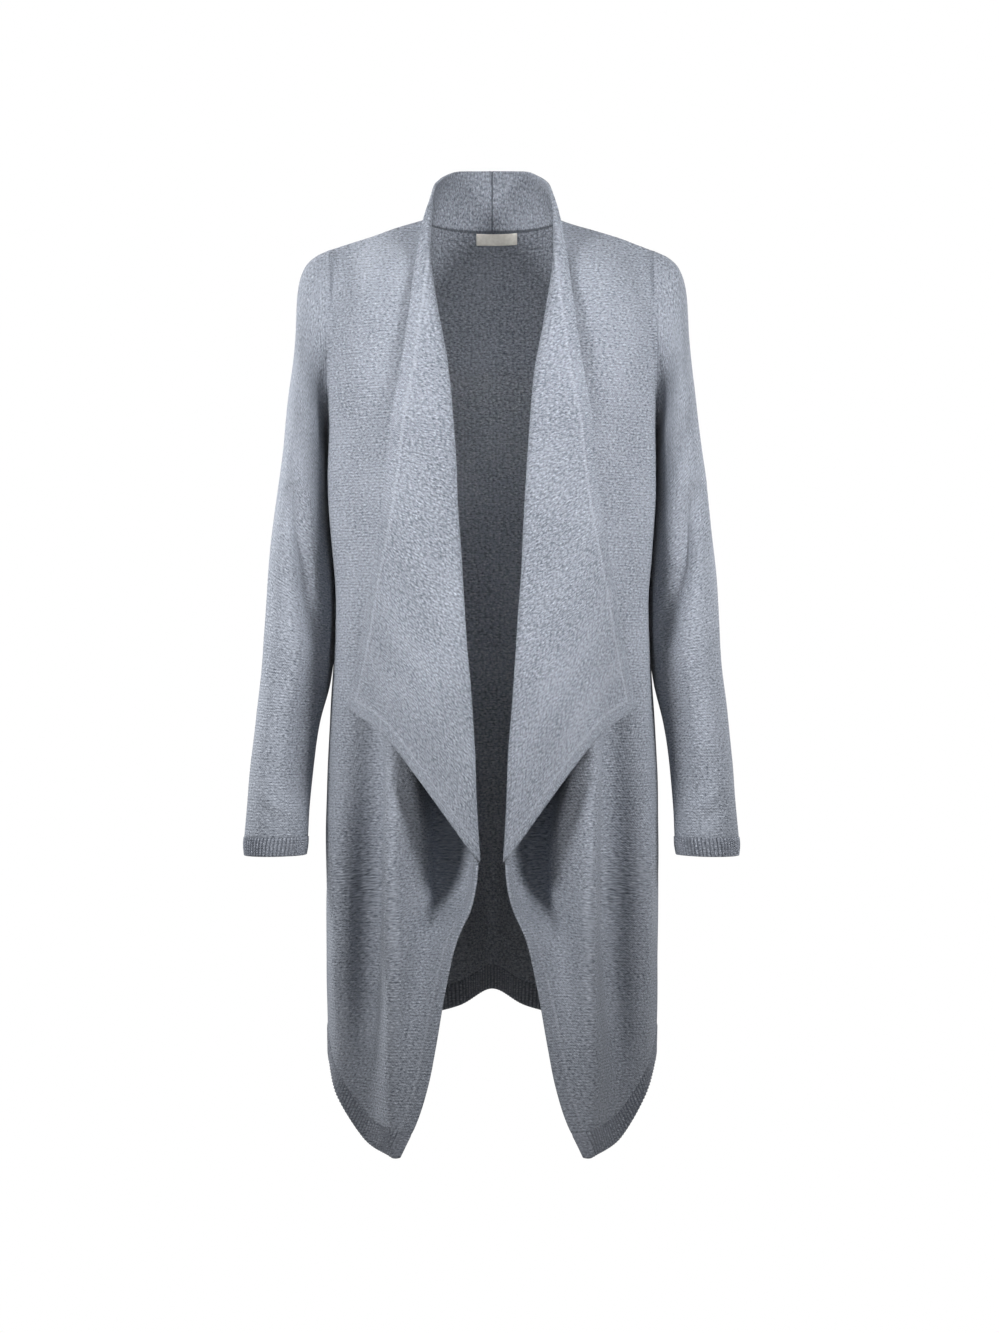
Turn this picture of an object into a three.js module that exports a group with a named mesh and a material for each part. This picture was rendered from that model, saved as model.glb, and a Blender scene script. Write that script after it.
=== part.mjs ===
// Waterfall cardigan in blue-grey knit, hollow as it is when worn. Millimetres, +Z up, the front towards -Y and the
// wearer's left at +X. The origin is the middle of the neck, level with the high points of the shoulders.
import * as THREE from "three";

// Driving sizes
const wall = 2.4; // thickness of the knit
const seamGap = 0.3; // clearance between two pieces at a seam
const shoulderWidth = 344; // armhole seam to armhole seam
const shoulderDrop = 35; // fall of the shoulder seam from neck to armhole
const neckWidth = 144; // between the high points of the shoulders
const neckHigh = { y: 15, z: 4 }; // high point of the shoulder, at the side of the neck
const backNeck = { y: 62, z: -2 }; // bottom of the collar at the centre back
const armhole = { top: -31, bottom: -225, depth: 50, y: 2 }; // a ring in an upright plane
const lapelRoll = 7; // how far the lapel turns forward at its roll
const label = { width: 44, height: 13, thickness: 0.8, centreX: 5, below: 2, clear: 0.3 };

// Cells between the named lines of the cloth, and between the levels shoulder, armpit, lapel end, rib and hem
const frontCells = [2, 2, 2, 3, 3];
const backCells = [4, 4, 4, 2, 2];
const levelCells = [8, 8, 7, 2];
const collarCells = 4;
const lapelCells = [1, 1, 2, 2];
const ringCells = 16;

// Turns rows of numbers into rows with named columns
function table(columns, rows) {
  return rows.map((row) => Object.fromEntries(columns.map((name, i) => [name, row[i]])));
}

const foldColumns = ["z", "x", "y"];

// Lines of the left front from its shoulder seam to its hem: x is the distance from the middle, y the depth.
// Under each line, its height at the armpit, the lapel end, the top of the rib and the hem.
const frontLines = {
  side: {
    levels: [-225, -600, -859, -885],
    path: table(foldColumns, [
      [-245, 169.5, 1.5], [-300, 167.5, 0], [-400, 167, -3], [-468, 168, -5], [-560, 172, -10],
      [-664, 174, -16], [-760, 172.5, -18], [-885, 171, -20],
    ]),
  },
  sideRidge: {
    levels: [-225, -620, -892, -918],
    path: table(foldColumns, [
      [-60, 157, -30], [-100, 160, -52], [-150, 162, -60], [-225, 161, -50], [-300, 159, -46], [-400, 158, -42],
      [-500, 161, -42], [-600, 162, -44], [-700, 161, -47], [-820, 161, -49], [-918, 160, -52],
    ]),
  },
  trough: {
    levels: [-225, -640, -933, -959],
    path: table(foldColumns, [
      [-60, 139, -44], [-100, 139, -69], [-150, 139, -81], [-225, 138, -79], [-300, 136, -75], [-400, 134, -69],
      [-500, 132, -64], [-600, 130, -61], [-700, 129, -59], [-820, 129, -61], [-900, 130, -68], [-959, 132, -76],
    ]),
  },
  ridge: {
    levels: [-225, -655, -945, -971],
    path: table(foldColumns, [
      [-50, 119, -48], [-100, 113, -80], [-150, 110, -92], [-225, 107, -98], [-300, 106, -96], [-400, 104, -92],
      [-500, 103, -94], [-600, 103, -100], [-700, 102, -106], [-820, 102, -109], [-971, 105.5, -112],
    ]),
  },
  hollow: {
    levels: [-225, -664, -947, -973],
    path: table(foldColumns, [
      [-50, 93, -54], [-100, 88, -84], [-150, 85, -95], [-225, 77, -104], [-300, 72, -103], [-400, 68, -97],
      [-480, 66, -88], [-560, 60, -70], [-640, 57, -60], [-700, 58, -66], [-760, 67, -92], [-820, 76, -104],
      [-900, 88, -114], [-973, 99.5, -117],
    ]),
  },
  edge: {
    levels: [-225, -668, -948, -972],
    path: table(foldColumns, [
      [-22, 73, -20], [-50, 70, -50], [-80, 66, -68], [-111, 61, -81], [-168, 50, -94], [-225, 45, -100],
      [-336, 38, -100], [-447, 31, -101], [-558, 23, -106], [-620, 18, -111], [-668, 15, -115], [-690, 16.5, -117],
      [-714, 21.5, -118], [-755, 37.8, -118], [-796, 47, -118], [-861, 58.3, -118], [-898, 65.5, -118],
      [-935, 76.7, -119], [-972, 94, -120],
    ]),
  },
};

// Lines of the left half of the back, from the side seam to the centre back, where a drape stands out behind
const backLines = {
  side: frontLines.side,
  outer: {
    levels: [-225, -600, -846, -872],
    path: table(foldColumns, [
      [-60, 142, 38], [-120, 150, 64], [-225, 153, 64], [-300, 149, 60], [-400, 148, 56], [-500, 152, 58],
      [-600, 160, 58], [-700, 171, 46], [-800, 172, 42], [-872, 170, 44],
    ]),
  },
  trough: {
    levels: [-225, -600, -836, -862],
    path: table(foldColumns, [
      [-50, 106, 56], [-100, 112, 82], [-225, 116, 97], [-350, 112, 86], [-450, 112, 80], [-600, 118, 82],
      [-750, 126, 80], [-862, 130, 80],
    ]),
  },
  ridge: {
    levels: [-225, -600, -827, -853],
    path: table(foldColumns, [
      [-30, 72, 52], [-80, 74, 86], [-160, 76, 105], [-300, 74, 100], [-420, 72, 92], [-550, 72, 97],
      [-700, 77, 106], [-853, 82, 112],
    ]),
  },
  inner: {
    levels: [-225, -600, -815, -841],
    path: table(foldColumns, [
      [-40, 47, 76], [-100, 42, 100], [-200, 39, 110], [-330, 37, 102], [-430, 36, 94], [-600, 36, 99],
      [-750, 35, 106], [-841, 37, 108],
    ]),
  },
  centre: {
    levels: [-225, -600, -800, -826],
    path: table(foldColumns, [
      [-40, 0, 86], [-100, 0, 105], [-200, 0, 113], [-330, 0, 104], [-430, 0, 97], [-600, 0, 110],
      [-750, 0, 134], [-826, 0, 142],
    ]),
  },
};

// Left half of the collar and lapel. Rows with at under 0 go round the back of the neck from the centre back, and the
// others follow the front's levels. Each row crosses the strip at its roll, its middle and its free edge.
const lapelRows = table(
  ["at", "rollX", "rollY", "rollZ", "midX", "midY", "midZ", "edgeX", "edgeY", "edgeZ"],
  [
    [-1, 0, 65, 15, 0, 70, 40, 0, 75, 65],
    [-0.67, 35, 58, 16, 35, 65, 40, 33, 70, 64],
    [-0.33, 60, 39, 16, 56.5, 42, 37, 50, 46, 55],
    [0, 68.5, 14, 16, 63, 14, 30, 59, 17, 43],
    [0.12, 65.5, -21, 3, 65.5, -26, 7.5, 70, -31, 4],
    [0.25, 65.5, -49, -34, 69.5, -56, -34, 76.5, -54, -38],
    [0.5, 56.5, -86, -104, 68, -99, -102, 84, -95, -100],
    [0.75, 45, -101, -168, 68, -114, -164, 92, -107, -160],
    [1, 40, -107, -225, 72, -119, -220, 102.5, -110, -216],
    [1.25, 33, -107, -336, 78, -115, -316, 111.5, -104, -300],
    [1.5, 26, -108, -447, 86, -112, -412, 124, -92, -377],
    [1.75, 18, -113, -558, 94, -112, -488, 136, -80, -449],
    [2, 13.5, -121, -669, 103, -113, -549, 150, -66, -514],
  ],
);

// Left sleeve, a row for each ring from the armhole to the wrist: its outermost and innermost points, the depth and its
// middle, and how far the front of the ring leans towards the body, so that the sleeve lies along its side
const sleeveRows = table(
  ["outX", "outZ", "inX", "inZ", "middleY", "depth", "lean"],
  [
    [172, armhole.top, 173, armhole.bottom, armhole.y, armhole.depth, 0],
    [187, -38, 176.3, -229.5, 2, 53, 3],
    [198, -50, 175.8, -236, 2, 55, 6],
    [205, -75, 174.2, -246, 1, 57, 9],
    [208.5, -125, 172, -262, 0, 60, 11],
    [215, -176, 169.3, -285, 0, 61, 13],
    [221, -227, 168, -312, 0, 61, 14],
    [227.5, -278, 167.4, -345, -1, 59, 14],
    [234, -328, 167.4, -380, -3, 56, 14],
    [238.5, -379, 168.3, -415, -6, 52, 14],
    [240.5, -430, 170.5, -450, -9, 49, 14],
    [243.3, -478, 174.5, -488, -12, 46, 13],
    [248, -525, 183, -528, -16, 43, 10],
    [252.5, -571, 189, -573, -20, 41, 7],
    [256, -616, 192.5, -616, -24, 39, 4],
    [258.5, -650, 194, -649, -26, 37.5, 2],
  ],
);
const cuffRows = table(Object.keys(sleeveRows[0]), [
  Object.values(sleeveRows[sleeveRows.length - 1]),
  [259, -659, 194.5, -658.5, -26.5, 36.5, 1],
  [258, -668.5, 196, -667.5, -27, 35, 0],
]);

// Value on a smooth curve through four values, the second at t = 0 and the third at t = 1
function curve(before, from, to, after, t) {
  const slopeFrom = (to - before) / 2;
  const slopeTo = (after - from) / 2;
  const rest = 1 - t;
  return rest * rest * ((1 + 2 * t) * from + t * slopeFrom) + t * t * ((3 - 2 * t) * to - rest * slopeTo);
}

// Point on a smooth curve through a list of points, at a place counted in points
function through(points, place) {
  const last = points.length - 1;
  const i = Math.min(Math.floor(place), last - 1);
  const p = [i - 1, i, i + 1, i + 2].map((k) => points[Math.max(0, Math.min(last, k))]);
  return [0, 1, 2].map((axis) => curve(p[0][axis], p[1][axis], p[2][axis], p[3][axis], place - i));
}

// Value of a smooth curve through rows sorted by one column, with its slopes taken from the neighbouring rows
function interpolate(rows, column, name, value) {
  const direction = Math.sign(rows[rows.length - 1][column] - rows[0][column]);
  let i = rows.findIndex((row) => (row[column] - value) * direction > 0) - 1;
  if (i < -1) i = rows.length - 2;
  i = Math.max(0, Math.min(rows.length - 2, i));
  const slope = (a, b) => (rows[b][name] - rows[a][name]) / (rows[b][column] - rows[a][column]);
  const step = rows[i + 1][column] - rows[i][column];
  const here = slope(i, i + 1);
  const slopeFrom = i > 0 ? (slope(i - 1, i) + here) / 2 : here;
  const slopeTo = i + 2 < rows.length ? (here + slope(i + 1, i + 2)) / 2 : here;
  const t = Math.max(0, Math.min(1, (value - rows[i][column]) / step));
  const rest = 1 - t;
  return (
    rest * rest * ((1 + 2 * t) * rows[i][name] + t * step * slopeFrom) +
    t * t * ((3 - 2 * t) * rows[i + 1][name] - rest * step * slopeTo)
  );
}

// Shoulder seam, from the armhole at 0 to the high point of the neck at 1
function shoulderSeam(u) {
  const x = (shoulderWidth * (1 - u) + neckWidth * u) / 2;
  return [x, armhole.y + (neckHigh.y - armhole.y) * u * u, neckHigh.z - shoulderDrop * (1 - u)];
}

// Back neck seam, a quarter of an ellipse from the high point of the neck at 0 to the centre back at 1
function neckSeam(u) {
  const turn = (u * Math.PI) / 2;
  return [
    (neckWidth / 2) * Math.cos(turn) * (u < 1 ? 1 : 0),
    neckHigh.y + (backNeck.y - neckHigh.y) * Math.sin(turn),
    neckHigh.z + (backNeck.z - neckHigh.z) * Math.sin(turn),
  ];
}

// Ring of the sleeve at one row: turn 0 is its outer side, then it passes the front, the inner side and the back
function ringPoint(row, turn) {
  const halfWidth = (row.outX - row.inX) / 2;
  const upright = Math.sign(halfWidth) * Math.sqrt(halfWidth ** 2 - row.lean ** 2);
  return [
    (row.outX + row.inX) / 2 + upright * Math.cos(turn) - row.lean * Math.sin(turn),
    row.middleY - row.depth * Math.sin(turn),
    (row.outZ + row.inZ) / 2 + ((row.outZ - row.inZ) / 2) * Math.cos(turn),
  ];
}

// Point of one named line at a level: 0 on the top seam, then armpit, lapel end, rib and hem at 1 to 4
function linePoint(line, top, level) {
  const heights = [top[2], ...line.levels];
  const i = Math.min(Math.floor(level), heights.length - 2);
  const z = heights[i] + (heights[i + 1] - heights[i]) * (level - i);
  const rows = [{ z: top[2], x: top[0], y: top[1] }, ...line.path];
  return [interpolate(rows, "z", "x", z), interpolate(rows, "z", "y", z), z];
}

// Side edge of front and back: along the armhole down to the armpit, then down the side seam
function sidePoint(level, side) {
  if (level < 1) return ringPoint(sleeveRows[0], side * Math.PI * level);
  return linePoint(frontLines.side, ringPoint(sleeveRows[0], Math.PI), level);
}

// Place along the top seam of each cell border, as a share of its cells
function seamShare(cells, place, count) {
  const i = Math.min(Math.floor(place), cells.length - 1);
  const before = cells.slice(0, i).reduce((sum, n) => sum + n, 0);
  return (before + cells[i] * (place - i)) / count;
}

const shoulderCells = frontCells.reduce((sum, n) => sum + n, 0);

// Left front at a place across (0 side seam, 5 roll or free edge) and a level
function frontPoint(place, level) {
  if (level === 0) return shoulderSeam(seamShare(frontCells, place, shoulderCells));
  if (place === 0) return sidePoint(level, 1);
  const lines = Object.values(frontLines);
  const points = lines.map((line, i) =>
    i ? linePoint(line, shoulderSeam(seamShare(frontCells, i, shoulderCells)), level) : sidePoint(level, 1),
  );
  return through(points, place);
}

// Top seam of the back: shoulder seam as far as place 3, then the neck seam to the centre back at place 5
function backTop(place) {
  if (place <= 3) return shoulderSeam(seamShare(backCells, place, shoulderCells));
  return neckSeam((place - 3) / 2);
}

// Left half of the back at a place across (0 side seam, 5 centre back) and a level
function backPoint(place, level) {
  if (level === 0) return backTop(place);
  if (place === 0) return sidePoint(level, -1);
  const lines = Object.values(backLines);
  const points = lines.map((line, i) => (i ? linePoint(line, backTop(i), level) : sidePoint(level, -1)));
  const mirrored = points[4];
  return through([...points, [-mirrored[0], mirrored[1], mirrored[2]]], place);
}

// Collar and lapel at a place across (0 neck seam or roll, 4 free edge) and at a row place
function lapelPoint(place, at) {
  const base = at <= 0 ? neckSeam(-at) : frontPoint(5, at);
  if (place === 0) return base;
  const value = (name) => interpolate(lapelRows, "at", name, at);
  const roll = [value("rollX"), value("rollY"), value("rollZ")];
  const middle = [value("midX"), value("midY"), value("midZ")];
  const edge = [value("edgeX"), value("edgeY"), value("edgeZ")];
  const turned = Math.max(0, Math.min(1, at * 2)); // 0 where the collar stands, 1 where the lapel lies open
  const front = roll.map((v, i) => v + (middle[i] - v) * (0.5 - 0.35 * turned) - (i === 1 ? lapelRoll * turned : 0));
  const centred = at <= -1;
  return through([base, roll, front, middle, edge], place).map((v, i) => (centred && i === 0 ? 0 : v));
}

// Places from the start to the end of a list of intervals, each cut into its number of cells
function places(cells) {
  const list = cells.flatMap((count, i) => Array.from({ length: count }, (_, k) => i + k / count));
  return [...list, cells.length];
}

// Adds a grid of points to a surface. Equal points are used once, so that grids join where they meet.
function addGrid(surface, grid, flip = false) {
  const rows = grid.map((row) =>
    row.map((point) => {
      const key = pointKey(point);
      if (!surface.index.has(key)) {
        surface.index.set(key, surface.points.length);
        surface.points.push(point);
      }
      return surface.index.get(key);
    }),
  );
  for (let r = 0; r + 1 < rows.length; r++) {
    for (let c = 0; c + 1 < rows[r].length; c++) {
      const [a, b, d, e] = [rows[r][c], rows[r][c + 1], rows[r + 1][c], rows[r + 1][c + 1]];
      const faces = [
        [a, b, e],
        [a, e, d],
      ];
      surface.faces.push(...faces.map((face) => (flip ? face.reverse() : face)));
    }
  }
}

function pointKey(point) {
  return point.map((v) => Math.round(v * 1000)).join(",");
}

function newSurface() {
  return { points: [], faces: [], index: new Map() };
}

const mirror = (point) => [-point[0], point[1], point[2]];

// Surface of a piece of the left half, or its mirror image
function half(grids, side) {
  const surface = newSurface();
  for (const grid of grids) {
    addGrid(surface, side > 0 ? grid : grid.map((row) => row.map(mirror)), side < 0);
  }
  return surface;
}

const bodyLevels = places(levelCells.slice(0, 3));
const ribLevels = places(levelCells.slice(3)).map((level) => level + 3);

// Front panel with its lapel and half of the collar
function frontSurface(side) {
  const panel = bodyLevels.map((level) => places(frontCells).map((place) => frontPoint(place, level)));
  const round = Array.from({ length: collarCells }, (_, i) => i / collarCells - 1);
  const down = bodyLevels.filter((level) => level <= 2);
  const strip = [...round, ...down].map((at) => places(lapelCells).map((place) => lapelPoint(place, at)));
  return half([panel, strip], side);
}

function frontRibSurface(side) {
  return half([ribLevels.map((level) => places(frontCells).map((place) => frontPoint(place, level)))], side);
}

// Whole back, or its rib, between both side seams
function backSurface(levels) {
  const surface = newSurface();
  const across = places(backCells);
  const grid = levels.map((level) => {
    const left = across.map((place) => backPoint(place, level));
    left[left.length - 1][0] = 0;
    return [...left, ...left.slice(0, -1).reverse().map(mirror)];
  });
  addGrid(surface, grid, true);
  return surface;
}

function tubeSurface(rows, side) {
  const ring = (row) =>
    Array.from({ length: ringCells + 1 }, (_, i) => ringPoint(row, (2 * Math.PI * (i % ringCells)) / ringCells));
  return half([rows.map(ring)], side);
}

const surfaces = {
  back: backSurface(bodyLevels),
  left_front: frontSurface(1),
  right_front: frontSurface(-1),
  left_sleeve: tubeSurface(sleeveRows, 1),
  right_sleeve: tubeSurface(sleeveRows, -1),
  left_cuff: tubeSurface(cuffRows, 1),
  right_cuff: tubeSurface(cuffRows, -1),
  back_hem_rib: backSurface(ribLevels),
  left_hem_rib: frontRibSurface(1),
  right_hem_rib: frontRibSurface(-1),
};

const vector = (point) => new THREE.Vector3(...point);

// Direction across the cloth at every point, averaged over all pieces that meet there
function clothNormals(list) {
  const normals = new Map();
  for (const { points, faces } of list) {
    for (const face of faces) {
      const corners = face.map((i) => vector(points[i]));
      face.forEach((i, k) => {
        const one = corners[(k + 1) % 3].clone().sub(corners[k]);
        const two = corners[(k + 2) % 3].clone().sub(corners[k]);
        const share = new THREE.Vector3().crossVectors(one, two).normalize().multiplyScalar(one.angleTo(two));
        const key = pointKey(points[i]);
        normals.set(key, (normals.get(key) ?? new THREE.Vector3()).add(share));
      });
    }
  }
  normals.forEach((normal) => normal.normalize());
  return normals;
}

// Free edges of a surface, each as the two points in the order of its face
function borders(faces) {
  const edges = new Map();
  for (const face of faces) {
    face.forEach((a, k) => edges.set(`${a},${face[(k + 1) % 3]}`, [a, face[(k + 1) % 3]]));
  }
  return [...edges.values()].filter(([a, b]) => !edges.has(`${b},${a}`));
}

// Draws the edge of a piece back from each seam by half the seam gap, within the surface
function clearOfSeams(surface, normals, shared) {
  const { points, faces } = surface;
  const moved = points.map(vector);
  const edges = borders(faces).filter(([a, b]) => shared.has(pointKey(points[a])) && shared.has(pointKey(points[b])));
  const inward = new Map();
  for (const [a, b] of edges) {
    const along = vector(points[b]).sub(vector(points[a])).normalize();
    for (const i of [a, b]) {
      const normal = normals.get(pointKey(points[i]));
      const into = new THREE.Vector3().crossVectors(normal, along).normalize();
      inward.set(i, [...(inward.get(i) ?? []), into]);
    }
  }
  for (const [i, list] of inward) {
    const sum = list.reduce((total, into) => total.add(into), new THREE.Vector3()).normalize();
    const lean = Math.max(0.5, sum.dot(list[0]));
    moved[i].addScaledVector(sum, seamGap / 2 / lean);
  }
  return moved;
}

// Closed solid of a surface: two faces half a wall apart from it, joined along its free edges
function clothSolid(surface, normals, shared, thickness = wall) {
  const { points, faces } = surface;
  const count = points.length;
  const middle = clearOfSeams(surface, normals, shared);
  const across = points.map((point) => normals.get(pointKey(point)));
  const outer = middle.map((p, i) => p.clone().addScaledVector(across[i], thickness / 2));
  const inner = middle.map((p, i) => p.clone().addScaledVector(across[i], -thickness / 2));
  const index = [];
  for (const [a, b, c] of faces) index.push(a, b, c, count + c, count + b, count + a);
  for (const [a, b] of borders(faces)) {
    // Both sides of a seam cut their narrow end faces along the same diagonal
    if (pointKey(points[a]) < pointKey(points[b])) index.push(b, a, count + a, b, count + a, count + b);
    else index.push(b, a, count + b, a, count + a, count + b);
  }
  const geometry = new THREE.BufferGeometry();
  const positions = [...outer, ...inner].flatMap((p) => [p.x, p.y, p.z]);
  geometry.setAttribute("position", new THREE.Float32BufferAttribute(positions, 3));
  geometry.setIndex(index);
  geometry.computeVertexNormals();
  return geometry;
}

// Points that two or more pieces share, where a seam joins them
function seamPoints(list) {
  const uses = new Map();
  for (const surface of list) {
    for (const key of surface.index.keys()) uses.set(key, (uses.get(key) ?? 0) + 1);
  }
  return new Set([...uses].filter(([, n]) => n > 1).map(([key]) => key));
}

// Label inside the back, below the neck seam: points of the back's first two rows of cells, moved in towards the neck
function labelSolid() {
  const surface = newSurface();
  const cellPlace = 5 - 1 / backCells[4];
  const rowOf = (level) => {
    const [centre, beside] = [backPoint(5, level), backPoint(cellPlace, level)];
    return (x) => centre.map((v, i) => (i ? v + (beside[i] - v) * Math.abs(x / beside[0]) : x));
  };
  const [top, next] = [rowOf(0), rowOf(1 / levelCells[0])];
  const columns = [label.centreX + label.width / 2, 0, label.centreX - label.width / 2];
  const cellHeight = vector(top(0)).distanceTo(vector(next(0)));
  const shares = [label.below, label.below + label.height].map((drop) => drop / cellHeight);
  const grid = shares.map((share) =>
    columns.map((x) => top(x).map((v, i) => v + (next(x)[i] - v) * share)),
  );
  addGrid(surface, grid);
  const lift = wall / 2 + label.clear + label.thickness / 2;
  const across = clothNormals([surface]);
  surface.points = surface.points.map((point) => {
    const normal = across.get(pointKey(point));
    return point.map((v, i) => v + lift * normal.getComponent(i));
  });
  return clothSolid(surface, clothNormals([surface]), new Set(), label.thickness);
}

const materials = {
  knit: new THREE.MeshStandardMaterial({ color: 0x9aa3b0, roughness: 0.95, metalness: 0 }),
  rib: new THREE.MeshStandardMaterial({ color: 0x8f97a4, roughness: 0.95, metalness: 0 }),
  label: new THREE.MeshStandardMaterial({ color: 0xd8d3c8, roughness: 0.7, metalness: 0 }),
};

const group = new THREE.Group();

function addPiece(name, geometry, material) {
  const mesh = new THREE.Mesh(geometry, material.clone());
  mesh.name = name;
  group.add(mesh);
}

const clothPieces = Object.values(surfaces);
const normals = clothNormals(clothPieces);
const shared = seamPoints(clothPieces);
for (const [name, surface] of Object.entries(surfaces)) {
  const material = /rib|cuff/.test(name) ? materials.rib : materials.knit;
  addPiece(name, clothSolid(surface, normals, shared), material);
}
addPiece("neck_label", labelSolid(), materials.label);

export default group;
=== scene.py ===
# Waterfall cardigan in heathered blue-grey knit, hollow as when worn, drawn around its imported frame.
# Tables and sizes are in millimetres, as a pattern cutter writes them, and toMetres turns them at the end.
import functools
import math

import bpy
import numpy as np
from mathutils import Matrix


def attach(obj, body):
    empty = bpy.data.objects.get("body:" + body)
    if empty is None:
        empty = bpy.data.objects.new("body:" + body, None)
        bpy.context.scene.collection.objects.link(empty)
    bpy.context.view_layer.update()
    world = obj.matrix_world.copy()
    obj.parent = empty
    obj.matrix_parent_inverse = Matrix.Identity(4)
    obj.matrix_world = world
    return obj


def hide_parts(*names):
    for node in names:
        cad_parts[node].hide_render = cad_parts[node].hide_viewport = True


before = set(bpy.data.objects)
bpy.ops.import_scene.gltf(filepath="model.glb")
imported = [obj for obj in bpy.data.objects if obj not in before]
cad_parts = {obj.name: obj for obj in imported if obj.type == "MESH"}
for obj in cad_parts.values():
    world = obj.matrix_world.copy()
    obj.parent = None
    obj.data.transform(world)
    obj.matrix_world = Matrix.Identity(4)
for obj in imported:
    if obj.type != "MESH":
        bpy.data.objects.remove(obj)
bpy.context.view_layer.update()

toMetres = 0.001
print("frame loaded")

# Camera: level with the middle of the garment, far enough back for a catalogue view. The garment hangs a
# little left of the picture's middle, so the camera stands a little to the right.
view = dict(
    distance=3300, height=-471, mmPerPixel=1.06, pictureHeight=1333, middlePixel=499.5, axisPixel=492,
    sensor=24, farEnd=60,
)


def makeCamera():
    # Focal length is the sensor's height times the distance, over the height that the picture takes in
    camera = bpy.data.objects.new("camera", bpy.data.cameras.new("camera"))
    bpy.context.scene.collection.objects.link(camera)
    sideStep = (view["middlePixel"] - view["axisPixel"]) * view["mmPerPixel"]
    camera.location = (sideStep * toMetres, -view["distance"] * toMetres, view["height"] * toMetres)
    camera.rotation_euler = (math.pi / 2, 0, 0)
    camera.data.sensor_fit = "VERTICAL"
    camera.data.sensor_height = view["sensor"]
    camera.data.lens = view["sensor"] * view["distance"] / (view["pictureHeight"] * view["mmPerPixel"])
    camera.data.clip_end = view["farEnd"]
    bpy.context.scene.camera = camera


makeCamera()
print("camera placed")

# Cut of the cloth: the lines that the frame's solids follow, from the shoulder seam to the hem.
# Columns are height, distance from the middle and depth. Levels are the heights at armpit, lapel end, rib and
# hem.
body = dict(
    shoulderHalf=172, neckHalf=72, shoulderDrop=35, neckY=15, neckZ=4, backNeckY=62, backNeckZ=-2, topEase=0.1,
)
armhole = dict(outX=172, top=-31, inX=173, bottom=-225, middleY=2, depth=50)
sideLine = dict(
    levels=[-225, -600, -859, -885],
    path=[[-245, 170.5, 1.5], [-300, 168, 0], [-350, 165.5, -1.5], [-400, 164, -3], [-468, 167, -5],
          [-560, 172, -10], [-664, 174, -16], [-760, 172.5, -18], [-885, 171, -20]],
)
frontLines = [
    sideLine,
    dict(  # ridge beside the side seam
        levels=[-225, -620, -892, -918],
        path=[[-60, 157, -30], [-100, 160, -52], [-150, 163, -60], [-225, 167, -52], [-300, 168.5, -47],
              [-350, 165, -44], [-400, 161, -42], [-500, 161, -42], [-600, 162, -44], [-700, 161, -47],
              [-820, 161, -49], [-918, 160, -52]],
    ),
    dict(  # trough between the two ridges
        levels=[-225, -640, -933, -959],
        path=[[-60, 139, -44], [-100, 139, -69], [-150, 139, -81], [-225, 138, -79], [-300, 136, -75],
              [-400, 134, -69], [-500, 132, -64], [-600, 130, -61], [-700, 129, -59], [-820, 129, -61],
              [-900, 130, -68], [-959, 132, -76]],
    ),
    dict(  # main ridge, down to the corner of the hem
        levels=[-225, -655, -945, -971],
        path=[[-50, 119, -48], [-100, 113, -80], [-150, 110, -92], [-225, 107, -98], [-300, 106, -96],
              [-400, 104, -92], [-500, 103, -94], [-600, 103, -100], [-700, 102, -106], [-820, 102, -109],
              [-971, 105.5, -112]],
    ),
    dict(  # deep hollow under the lapel
        levels=[-225, -664, -947, -973],
        path=[[-50, 93, -54], [-100, 88, -84], [-150, 85, -95], [-225, 77, -104], [-300, 72, -103],
              [-400, 68, -97], [-480, 66, -88], [-560, 60, -70], [-640, 57, -60], [-700, 58, -66],
              [-760, 67, -92], [-820, 76, -104], [-900, 88, -114], [-973, 99.5, -117]],
    ),
    dict(  # roll of the lapel, then the free front edge
        levels=[-225, -668, -948, -972],
        path=[[-22, 73, -20], [-50, 70, -50], [-80, 66, -68], [-111, 61, -81], [-168, 50, -94],
              [-225, 45, -100], [-336, 38, -100], [-447, 31, -101], [-558, 23, -106], [-620, 18, -111],
              [-668, 15, -115], [-690, 16.5, -117], [-714, 21.5, -118], [-755, 37.8, -118], [-796, 47, -118],
              [-861, 58.3, -118], [-898, 65.5, -118], [-935, 76.7, -119], [-972, 94, -120]],
    ),
]
backLines = [
    sideLine,
    dict(  # outer back, showing past the front's edge low down
        levels=[-225, -600, -846, -872],
        path=[[-60, 142, 38], [-120, 150, 64], [-225, 153, 64], [-300, 149, 60], [-400, 148, 56],
              [-500, 152, 58], [-600, 160, 58], [-700, 171, 46], [-800, 172, 42], [-872, 170, 44]],
    ),
    dict(  # trough
        levels=[-225, -600, -836, -862],
        path=[[-50, 106, 56], [-100, 112, 82], [-225, 116, 97], [-350, 112, 86], [-450, 112, 80],
              [-600, 118, 82], [-750, 126, 80], [-862, 130, 80]],
    ),
    dict(  # ridge
        levels=[-225, -600, -827, -853],
        path=[[-30, 72, 52], [-80, 74, 86], [-160, 76, 105], [-300, 74, 100], [-420, 72, 92], [-550, 72, 97],
              [-700, 77, 106], [-853, 82, 112]],
    ),
    dict(  # beside the centre drape
        levels=[-225, -600, -815, -841],
        path=[[-40, 47, 76], [-100, 42, 100], [-200, 39, 110], [-330, 37, 102], [-430, 36, 94],
              [-600, 36, 99], [-750, 35, 106], [-841, 37, 108]],
    ),
    dict(  # centre of the drape
        levels=[-225, -600, -800, -826],
        path=[[-40, 0, 86], [-100, 0, 105], [-200, 0, 113], [-330, 0, 104], [-430, 0, 97], [-600, 0, 110],
              [-750, 0, 134], [-826, 0, 142]],
    ),
]
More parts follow.
